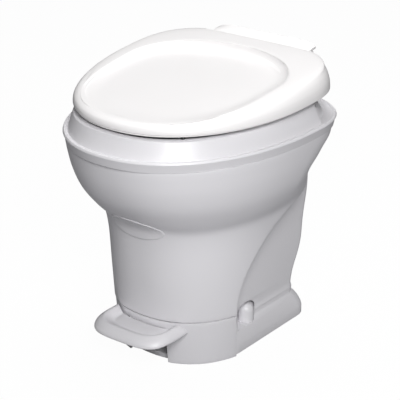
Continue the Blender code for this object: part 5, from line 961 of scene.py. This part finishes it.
# The same, and the share of the rim's rise, for the ring where the underside turns up to the rim
PEDAL_TURN_IN = (0.5, 0.25)
PEDAL_RIM_STEPS = 5
PEDAL_CUT_SHARES = (0.3, 1.2)
ARM_NOSE_SHARE = 0.8
print("pedal from", PEDAL_FRONT, "turns on a pin at", (PEDAL_AXIS_Y, PEDAL_AXIS_Z))


# %% Pedal
def pedal_ring(rim_share, rise_share, floor=None):
    """One level of the tray: a squarish oval whose sides rise into wings."""
    half = PEDAL_HALF - PEDAL_WING_WIDTH * rim_share
    front = PEDAL_FRONT + PEDAL_RIM_WIDTH * rim_share
    ring = []
    for step in range(PEDAL_POINTS):
        angle = math.tau * step / PEDAL_POINTS
        across, along = math.cos(angle), math.sin(angle)
        power = PEDAL_POWER if along < 0 else 2 * PEDAL_POWER
        reach = (PEDAL_MIDDLE_Y - front) if along < 0 else (PEDAL_REAR_Y - PEDAL_MIDDLE_Y)
        y = PEDAL_MIDDLE_Y + reach * squarer(along, power)
        wing = ease(min(1.0, max(0.0, (y - PEDAL_FRONT) / PEDAL_WING_RUN)))
        if floor is None:
            edge = PEDAL_EDGE_Z + PEDAL_EDGE_LIFT * wing
            z = between(edge, between(PEDAL_CREST_Z, PEDAL_WING_Z, wing), rise_share)
        else:
            z = floor + PEDAL_BASIN_SLOPE * (y - PEDAL_FRONT - PEDAL_RIM_WIDTH)
        ring.append(Vector((half * squarer(across, power), y, z)))
    return ring


def make_pedal():
    under = [pedal_ring(share, 0.0, PEDAL_FLOOR_Z - PEDAL_PLATE)
             for share in (PEDAL_MIDDLE_SHARE, PEDAL_UNDER_SHARE)]
    rim = [pedal_ring(*row) for row in PEDAL_RIM_SHARES]
    rim += [pedal_ring(share, 0.0, PEDAL_FLOOR_Z) for share in PEDAL_BASIN_SHARES]
    tray = loft("pedal_tray", under + [pedal_ring(*PEDAL_TURN_IN)] + smooth_rings(rim, PEDAL_RIM_STEPS)
                + [pedal_ring(PEDAL_MIDDLE_SHARE, 0.0, PEDAL_FLOOR_Z)])
    cut(tray, loft("pedal_rear_cut", [egg_ring(base_section(share, -PEDAL_GAP))
                                      for share in PEDAL_CUT_SHARES]))
    arm = solid_outline("pedal_arm", (
        (STOP_Y, PEDAL_ARM_TOP_Z),
        (PEDAL_AXIS_Y, PEDAL_ARM_TOP_Z),
        (PEDAL_AXIS_Y, PEDAL_ARM_TOP_Z - PEDAL_ARM_HEIGHT),
        (BASE_TOP_FRONT, PEDAL_ARM_TOP_Z - PEDAL_ARM_HEIGHT),
        (STOP_Y, PEDAL_ARM_TOP_Z - PEDAL_ARM_HEIGHT * ARM_NOSE_SHARE),
    ), -PEDAL_ARM_HALF, PEDAL_ARM_HALF)
    join(tray, arm)
    hub_left = -PEDAL_ARM_HALF - HUB_RADIUS
    join(tray, rod("pedal_hub", HUB_RADIUS, (hub_left, PEDAL_AXIS_Y, PEDAL_AXIS_Z),
                   HUB_RIGHT - hub_left, "X"))
    return drill(tray, "pedal_bore", PIN_RADIUS + PIN_CLEARANCE,
                 (hub_left - CUT_OVERRUN, PEDAL_AXIS_Y, PEDAL_AXIS_Z),
                 HUB_RIGHT - hub_left + 2 * CUT_OVERRUN, "X")


dress(soften(make_pedal(), width=0.0007), "pedal", "pedal")

# %% [markdown]
# ## Bowl
# The bowl narrows from the mouth under the collar to the throat over the ball valve. A spun profile
# would be simpler, but only the throat is round and the mouth is an egg. So its rings go from one
# to the other, down the inside and up the outside, and close into one wall.

# %% Bowl
THROAT_RADIUS = 0.0368
HOUSING_FLANGE = 0.0680
FLANGE_PLATE = 0.0040
THROAT_Z = 0.19901
BOWL_TOP_Z = COLLAR_FLOOR_Z - TOUCH_GAP
BOWL_OPEN_SHARES = ((0.0, 0.0), (0.10, 0.09), (0.25, 0.25), (0.40, 0.45), (0.575, 0.68),
                    (0.78, 0.88), (1.0, 1.0))
BOWL_WALL = 0.0030
BOWL_LIP = 0.0120
THROAT_POWER = 2.0
BREAKER_X = 0.0450
NOZZLE_Z = 0.3300
NOZZLE_RADIUS = 0.0055
BOWL_RINGS = 33


def bowl_section(share, wall=0.0):
    """The bowl's inner section at a share of the height from the throat to the mouth."""
    opening = smooth_value(BOWL_OPEN_SHARES, share)
    power = between(THROAT_POWER, MOUTH.front_power, opening)
    return Section(between(THROAT_RADIUS, MOUTH.half, opening) + wall,
                   OUTLET_Y - THROAT_RADIUS
                   + (MOUTH.front - OUTLET_Y + THROAT_RADIUS) * opening - wall,
                   OUTLET_Y + THROAT_RADIUS
                   + (MOUTH.rear - OUTLET_Y - THROAT_RADIUS) * opening + wall,
                   between(OUTLET_Y, MOUTH.widest, opening),
                   between(THROAT_Z, BOWL_TOP_Z, share), 0.0,
                   power, power)


def make_inner_bowl():
    shares = [step / (BOWL_RINGS - 1) for step in range(BOWL_RINGS)]
    foot_flange = bowl_section(0.0, HOUSING_FLANGE - THROAT_RADIUS)
    lip = bowl_section(1.0, BOWL_LIP)
    outside = [foot_flange, foot_flange._replace(z=THROAT_Z + FLANGE_PLATE),
               bowl_section(0.0, BOWL_WALL)._replace(z=THROAT_Z + FLANGE_PLATE)]
    outside += [bowl_section(share, BOWL_WALL) for share in shares[1:-1]]
    outside += [bowl_section(1.0, BOWL_WALL)._replace(z=BOWL_TOP_Z - BOWL_WALL),
                lip._replace(z=BOWL_TOP_Z - BOWL_WALL), lip]
    inside = [bowl_section(share) for share in reversed(shares)]
    rings = [egg_ring(section, INNER_RING_POINTS) for section in outside + inside]
    return drill(loft("inner_bowl", rings, looped=True), "nozzle_hole", NOZZLE_RADIUS + PIN_CLEARANCE,
                 (BREAKER_X, OUTLET_Y, NOZZLE_Z), OVERALL_DEPTH, "Y", FINE_BAR_STEPS)


dress(soften(make_inner_bowl(), width=0.0006), "pedestal", "inner_bowl")

# %% [markdown]
# ## Seat
# Only the seat's edge shows between rim and lid. It is a closed ring with a crowned top, and two
# ears reach back from it to the hinge pins. A squashed torus would be as wide in front as at the
# sides. So its rings go from the seat's own outline over the crown to the outline of its hole.

# %% Seat sizes
HINGE_Y = 0.1945
HINGE_Z = 0.4480
HINGE_PIN_RADIUS = 0.0032
HINGE_EYE_RADIUS = 0.0085
SEAT_STEP_Z = 0.0046
SEAT_CROWN = 0.0130
SEAT_STEP_IN = 0.0060
EAR_WIDTH = 0.0100
SEAT_EAR_WIDTH = 0.0125
SADDLE_HALF = 0.0980
LID_EAR_OUT = SADDLE_HALF - 2 * TOUCH_GAP
SEAT_EAR_OUT = 0.0864
SEAT = Section(half=0.183, front=-0.1885, rear=0.168, widest=0.05, z=0.4108, slope=0.028,
               front_power=2.11, rear_power=2.95)
HOLE = Section(half=0.112, front=-0.12, rear=0.075, widest=-0.01, z=0.4108, slope=0.028,
               front_power=2.25, rear_power=2.25)
# An outline, the number of steps that it is drawn in by, and its rise
SEAT_EDGE_ROWS = ((HOLE, -0.35, 0.0), (SEAT, 1.0, 0.0), (SEAT, 0.0, 0.45 * SEAT_STEP_Z))
SEAT_TOP_ROWS = ((SEAT, 0.0, 0.90 * SEAT_STEP_Z), (SEAT, 1.0, 1.10 * SEAT_STEP_Z),
                 (SEAT, 2.0, 0.80 * SEAT_CROWN), (SEAT, 5.0, SEAT_CROWN), (HOLE, -2.0, 0.85 * SEAT_CROWN),
                 (HOLE, -0.4, 0.55 * SEAT_CROWN), (HOLE, 0.0, 0.25 * SEAT_CROWN))
SEAT_TOP_STEPS = 4
EYE_STEPS = 12
print("seat", round(2 * SEAT.half, 4), "wide, hinge pins at", (HINGE_Y, HINGE_Z))


# %% What seat, lid and posts share at the hinge
def hinge_arc(start, turn, steps=EYE_STEPS):
    """(y, z) points of an eye round the hinge pin, from an angle on through a turn, in degrees."""
    angles = [math.radians(start + turn * step / steps) for step in range(steps + 1)]
    return [(HINGE_Y + HINGE_EYE_RADIUS * math.cos(angle), HINGE_Z + HINGE_EYE_RADIUS * math.sin(angle))
            for angle in angles]


def drill_pin_bore(item, name):
    return drill(item, name, HINGE_PIN_RADIUS + PIN_CLEARANCE,
                 (-OVERALL_WIDTH / 2, HINGE_Y, HINGE_Z), OVERALL_WIDTH, "X")


# %% Seat
def seat_ring(section, steps_in, rise):
    """A level of the seat: drawn in by some steps, on the seat's tilted plane raised by rise."""
    moved = inset(section, SEAT_STEP_IN * steps_in, SEAT.z + rise)
    return egg_ring(moved._replace(z=moved.z + SEAT.slope * (moved.front - SEAT.front)))


def make_seat():
    edge = [seat_ring(*row) for row in SEAT_EDGE_ROWS]
    top = smooth_rings([seat_ring(*row) for row in SEAT_TOP_ROWS], SEAT_TOP_STEPS)
    seat = loft("seat_ring", edge + top, looped=True)
    rear_z = SEAT.z + SEAT.slope * (SEAT.rear - SEAT.front)
    for side, name in SIDES:
        edges = sorted((side * SEAT_EAR_OUT, side * (SEAT_EAR_OUT - SEAT_EAR_WIDTH)))
        join(seat, solid_outline("seat_ear_" + name, (
            (SEAT.rear - 4 * SEAT_STEP_IN, rear_z + 0.25 * SEAT_CROWN),
            (SEAT.rear - SEAT_STEP_IN, rear_z + 0.10 * SEAT_CROWN),
            *hinge_arc(-60, 180),
            (HINGE_Y - HINGE_EYE_RADIUS, HINGE_Z + HINGE_EYE_RADIUS * 0.2),
            (SEAT.rear - 3 * SEAT_STEP_IN, rear_z + 0.85 * SEAT_CROWN),
        ), *edges))
    return drill_pin_bore(seat, "seat_pin_bore")


dress(soften(make_seat(), width=0.0007), "seat", "seat")

# %% [markdown]
# ## Bumpers
# Four rubber feet keep the seat off the rim's crest. They are plain plugs, so a round bar with
# rounded ends is all that they need. Each is made at its own height, because the seat is tilted.

# %% Bumpers under the seat
BUMPER_RADIUS = 0.0050
FRONT_BUMPER_X = 0.1000
SIDE_BUMPER_X = 0.1540
BUMPER_SHARE = 0.7
BUMPER_SET_IN = 0.0055
CREST_MIDDLE_SHARE = 0.55

for row, x in (("front", FRONT_BUMPER_X), ("rear", SIDE_BUMPER_X)):
    crest = inset(FLANGE, BAND_FOOT_INSET + BAND_DRAFT + CREST_WIDTH * CREST_MIDDLE_SHARE + BUMPER_SET_IN,
                  CREST_Z)
    y = egg_y(crest._replace(front_power=BAND_FRONT_POWER), x)
    under_z = SEAT.z + SEAT.slope * (y - BUMPER_RADIUS - SEAT.front)
    for side, name in SIDES:
        bumper = rod("bumper_" + row + "_" + name, BUMPER_RADIUS * BUMPER_SHARE,
                     (side * x, y, CREST_Z + TOUCH_GAP), under_z - 2 * TOUCH_GAP - CREST_Z, "Z",
                     FINE_BAR_STEPS)
        dress(soften(bumper, width=0.0005), "seat", "seat_bumper_" + row + "_" + name)

# %% [markdown]
# ## Lid
# The lid is one thin moulding: a rounded edge, a crown line round the top, and a soft dish inside
# it. At the rear a saddle curls up over the hinge, between two corner slots. A slab with inset and
# bevelled faces could do, but its highlights would break at each bevel. As levels of one stack,
# edge, crown line and dish are smoothed together. Saddle and ears are joined on afterwards.

# %% Lid sizes
LID_LENGTH = 0.3845
LID_WALL = 0.0030
SLOT_WIDTH = 0.0080
SLOT_DEPTH = 0.0340
SADDLE_REAR = 0.2110
SADDLE_WALL = 0.0040
LID = Section(half=0.187, front=-0.19, rear=0.2, widest=0.05, z=0.416, slope=0.028,
              front_power=2.11, rear_power=2.95)
PANEL = Section(half=0.146, front=-0.1715, rear=0.142, widest=0.037, z=0.428, slope=0.112,
                front_power=2.66, rear_power=2.08)
SHOULDER = 0.0210
SHOULDER_SIDE_SHARE = 0.8
SHOULDER_REAR_SHARE = 0.5
# How far in, how far up, and how much of the crown line's slope
SHOULDER_SHARES = ((0.0, 0.0, 0.25), (0.0, 0.22, 0.27), (0.05, 0.50, 0.40), (0.20, 0.80, 0.54),
                   (0.52, 1.02, 0.76), (1.0, 1.10, 0.94))
EDGE_THICKNESS = 0.0120
DISH_INSET = 0.0080
DISH_WALL_SHARE = 0.20
DISH_STEP_SHARE = 0.16
DISH_WALL_POWER = 2.2
DISH_FRONT_DEPTH = 0.0012
DISH_REAR_DEPTH = 0.0142
# Shares of the way from the crown line to the middle of the dish
DISH_SHARES = (0.0, 0.012, 0.026, 0.045, 0.07, 0.10, 0.14, 0.19, 0.26, 0.42, 0.68)
LID_TOP_STEPS = 5
SADDLE_DIP = 0.0095
SADDLE_START_Y = 0.1560
SADDLE_END_SHARES = ((0.0, 0.0), (0.70, 0.0), (0.86, 0.25), (0.95, 0.65), (1.0, 1.0))
SADDLE_END_DROP = 0.0060
SADDLE_CURL_POWER = 2.6
SADDLE_DIP_SHARE = 0.30
SADDLE_DIP_PACE = 1.25
SADDLE_LEAN_SHARE = 0.3
SADDLE_STEPS = 24
SADDLE_SIDE_STEPS = 16
print("lid", round(2 * LID.half, 4), "wide,", round(LID.rear - LID.front, 4), "long")


# %% Levels of the lid
def lid_shoulder(in_share, rise_share, slope_share, wall=0.0):
    """One level of the rounded edge, which is squarer at the rear than at the front."""
    amount = SHOULDER * in_share
    return LID._replace(half=LID.half - SHOULDER_SIDE_SHARE * amount - wall,
                        front=LID.front + amount + wall,
                        rear=LID.rear - SHOULDER_REAR_SHARE * amount - wall,
                        z=LID.z + EDGE_THICKNESS * rise_share - wall,
                        slope=PANEL.slope * slope_share)


def saddle_line(share, end_drop):
    """(y, z) of the saddle's top at a share of its run: a soft dip, then a curl up to the rear."""
    start_z = PANEL.z + PANEL.slope * (SADDLE_START_Y - PANEL.front) - DISH_INSET / 3
    y = between(SADDLE_START_Y, SADDLE_REAR, share)
    curl = share ** SADDLE_CURL_POWER
    dip = SADDLE_DIP * SADDLE_DIP_SHARE * math.sin(math.pi * min(1.0, share * SADDLE_DIP_PACE))
    return y, start_z * (1 - curl) + (OVERALL_HEIGHT - end_drop) * curl - dip


def dish_section(share):
    """A level of the dish: a rounded step at the crown line, then a wall that fades to a flat floor."""
    wall = min(1.0, share / DISH_WALL_SHARE)
    fall = (1 - (1 - wall) ** DISH_WALL_POWER) * ease(min(1.0, wall / DISH_STEP_SHARE))
    front = between(PANEL.front, PANEL.widest, share)
    slope = PANEL.slope - DISH_REAR_DEPTH * fall / LID_LENGTH
    return PANEL._replace(half=PANEL.half * (1 - share), front=front,
                          rear=between(PANEL.rear, PANEL.widest, share),
                          z=PANEL.z + slope * (front - PANEL.front) - DISH_FRONT_DEPTH * fall,
                          slope=slope)


# %% Lid
def make_saddle():
    rings = []
    for mark in range(-SADDLE_SIDE_STEPS, SADDLE_SIDE_STEPS + 1):
        share = mark / SADDLE_SIDE_STEPS
        end_drop = SADDLE_END_DROP * smooth_value(SADDLE_END_SHARES, abs(share))
        x = LID_EAR_OUT * share
        top = [saddle_line(step / SADDLE_STEPS, end_drop) for step in range(SADDLE_STEPS + 1)]
        under = [(y - SADDLE_WALL * SADDLE_LEAN_SHARE, z - SADDLE_WALL) for y, z in reversed(top)]
        rings.append([Vector((x, y, z)) for y, z in top + under])
    return loft("lid_saddle", rings)


def make_lid():
    crown_out = PANEL._replace(half=PANEL.half + DISH_INSET / 2, front=PANEL.front - DISH_INSET / 4,
                               rear=PANEL.rear + DISH_INSET / 2, z=PANEL.z + DISH_INSET / 8)
    top = [lid_shoulder(*row) for row in SHOULDER_SHARES] + [crown_out]
    dish = [dish_section(share) for share in DISH_SHARES]
    under = [section._replace(z=section.z - LID_WALL) for section in (dish[-1], dish[-4], dish[0])]
    under += [lid_shoulder(*row, LID_WALL) for row in SHOULDER_SHARES[:1:-1]]
    under.append(inset(LID, LID_WALL, LID.z))
    lid = loft("lid_cover", [egg_ring(section) for section in under]
               + smooth_rings([egg_ring(section) for section in top + dish], LID_TOP_STEPS))
    cut(lid, box("lid_rear_opening", (-SADDLE_HALF - SLOT_WIDTH, SADDLE_REAR - SLOT_DEPTH, 0.0),
                 (SADDLE_HALF + SLOT_WIDTH, OVERALL_DEPTH, OVERALL_HEIGHT + CUT_OVERRUN)))
    join(lid, make_saddle())
    saddle_under = OVERALL_HEIGHT - SADDLE_WALL / 2 - SADDLE_DIP
    for side, name in SIDES:
        edges = sorted((side * LID_EAR_OUT, side * (LID_EAR_OUT - EAR_WIDTH)))
        join(lid, solid_outline("lid_ear_" + name, (
            *hinge_arc(-150, 150),
            (HINGE_Y + HINGE_EYE_RADIUS, saddle_under),
            (HINGE_Y - 2 * HINGE_EYE_RADIUS, saddle_under),
        ), *edges))
    return drill_pin_bore(lid, "lid_pin_bore")


dress(soften(make_lid(), width=0.0009, angle=38.0), "lid", "lid", smooth=40.0)

# %% [markdown]
# ## Hinge posts
# A post stands on the deck in each corner slot of the lid, and leans back to carry the pin. It is a
# flat part with a round eye, so its outline is drawn once and extruded along X. A box for its foot
# and a bar for the stud that goes through the deck are joined to it.

# %% Hinge posts
POST_WIDTH = 0.0050
POST_NECK = ((0.1790, 0.4270), (0.1600, 0.4020))
POST_BACK = (0.1890, 0.4230)
POST_FOOT_FRONT = 0.1500
POST_FOOT_REAR = 0.1735
POST_FOOT_HALF = 0.0060
POST_FOOT_HEIGHT = 0.0030
STUD_LOW_Z = 0.36375
POST_EYE_STEPS = 32

for side, name in SIDES:
    base_z = DECK_Z + TOUCH_GAP
    edges = sorted((side * (POST_X - POST_WIDTH / 2), side * (POST_X + POST_WIDTH / 2)))
    outline = [*hinge_arc(-30, 240, POST_EYE_STEPS), *POST_NECK, (POST_NECK[1][0], base_z),
               (POST_FOOT_REAR, base_z), POST_BACK]
    post = solid_outline("post_" + name, outline, *edges)
    foot_edges = sorted((side * (POST_X - POST_FOOT_HALF), side * (POST_X + POST_FOOT_HALF)))
    join(post, box("post_foot_" + name, (foot_edges[0], POST_FOOT_FRONT, base_z),
                   (foot_edges[1], POST_FOOT_REAR, base_z + POST_FOOT_HEIGHT)))
    drill_pin_bore(post, "post_pin_bore_" + name)
    join(post, rod("post_stud_" + name, STUD_RADIUS, (side * POST_X, STUD_Y, STUD_LOW_Z),
                   base_z + POST_FOOT_HEIGHT / 2 - STUD_LOW_Z, "Z"))
    dress(soften(post, width=0.0006), "pedestal", "hinge_post_" + name)

# %% [markdown]
# ## Studio
# A pale floor that runs out of sight, a white world for the camera, and two broad soft lamps. More
# light would make the floor white, but also bleach the toilet. So the floor and the world are bright
# only to the camera's own rays, by Light Path, and the floor still keeps the toilet's shadow.

# %% Floor
WHITE = (1.0, 1.0, 1.0, 1.0)
FLOOR_SIZE = 30.0
FLOOR_ROUGHNESS = 0.9
FLOOR_GLOW_SHARE = 0.97
FLOOR_SEEN = (0.95, 0.95, 0.95, 1.0)
FLOOR_BOUNCE = (0.32, 0.32, 0.33, 1.0)


def floor_finish():
    made, tree, shader = start_material("studio_floor", {"Roughness": FLOOR_ROUGHNESS,
                                                         "Specular IOR Level": 0.0})
    link = tree.links.new
    seen = tree.nodes.new("ShaderNodeLightPath").outputs["Is Camera Ray"]
    paint = add_node(tree, "Mix", {6: FLOOR_BOUNCE, 7: FLOOR_SEEN}, data_type="RGBA")
    glow = add_node(tree, "Emission", {"Color": WHITE})
    share = add_node(tree, "Math", {1: FLOOR_GLOW_SHARE}, operation="MULTIPLY")
    mix = tree.nodes.new("ShaderNodeMixShader")
    link(seen, paint.inputs[0])
    link(paint.outputs[2], shader.inputs["Base Color"])
    link(seen, share.inputs[0])
    link(share.outputs[0], mix.inputs["Fac"])
    link(shader.outputs[0], mix.inputs[1])
    link(glow.outputs[0], mix.inputs[2])
    link(mix.outputs[0], tree.nodes["Material Output"].inputs["Surface"])
    return made


floor = add_piece("studio_floor", bpy.ops.mesh.primitive_plane_add, size=FLOOR_SIZE)
floor.data.materials.append(floor_finish())
print("floor", FLOOR_SIZE, "m wide")

# %% World
WORLD_LEVEL = 0.10
world = bpy.data.worlds.new("studio_world")
bpy.context.scene.world = world
world.use_nodes = True
world_tree = world.node_tree
sky = world_tree.nodes["Background"]
sky.inputs["Color"].default_value = WHITE
level = add_node(world_tree, "Mix", {2: WORLD_LEVEL, 3: 1.0}, data_type="FLOAT")
world_rays = world_tree.nodes.new("ShaderNodeLightPath")
world_tree.links.new(world_rays.outputs["Is Camera Ray"], level.inputs[0])
world_tree.links.new(level.outputs[0], sky.inputs["Strength"])
print("world", WORLD_LEVEL, "on the toilet, 1.0 to the camera")

# %% Lamps
# Name, place, target, size in metres and power in watts
LAMPS = (("over_lamp", (-0.3, 0.6, 2.3), (0.0, 0.1, 0.4), 1.4, 29.0),
         ("key_lamp", (1.48, -1.46, 1.54), (0.0, 0.0, 0.2), 1.0, 48.0))


def place_and_aim(name, data, place, target):
    item = bpy.data.objects.new(name, data)
    bpy.context.scene.collection.objects.link(item)
    item.location = place
    item.rotation_euler = (Vector(target) - Vector(place)).to_track_quat("-Z", "Y").to_euler()
    return item


for name, place, target, size, power in LAMPS:
    lamp_data = bpy.data.lights.new(name, "AREA")
    lamp_data.shape = "RECTANGLE"
    lamp_data.size = lamp_data.size_y = size
    lamp_data.energy = power
    place_and_aim(name, lamp_data, place, target)
    print(name, power, "W")

# %% Camera
CAMERA_PLACE = (1.3838, -1.7804, 1.1819)
CAMERA_TARGET = (-0.0160, 0.0487, 0.2177)
CAMERA_LENS_MM = 135.958
CAMERA_SENSOR_MM = 36.0
camera_data = bpy.data.cameras.new("photo_camera")
camera_data.lens = CAMERA_LENS_MM
camera_data.sensor_width = CAMERA_SENSOR_MM
bpy.context.scene.camera = place_and_aim("photo_camera", camera_data, CAMERA_PLACE, CAMERA_TARGET)
bpy.context.scene.view_settings.view_transform = "Standard"
print("camera at", CAMERA_PLACE)
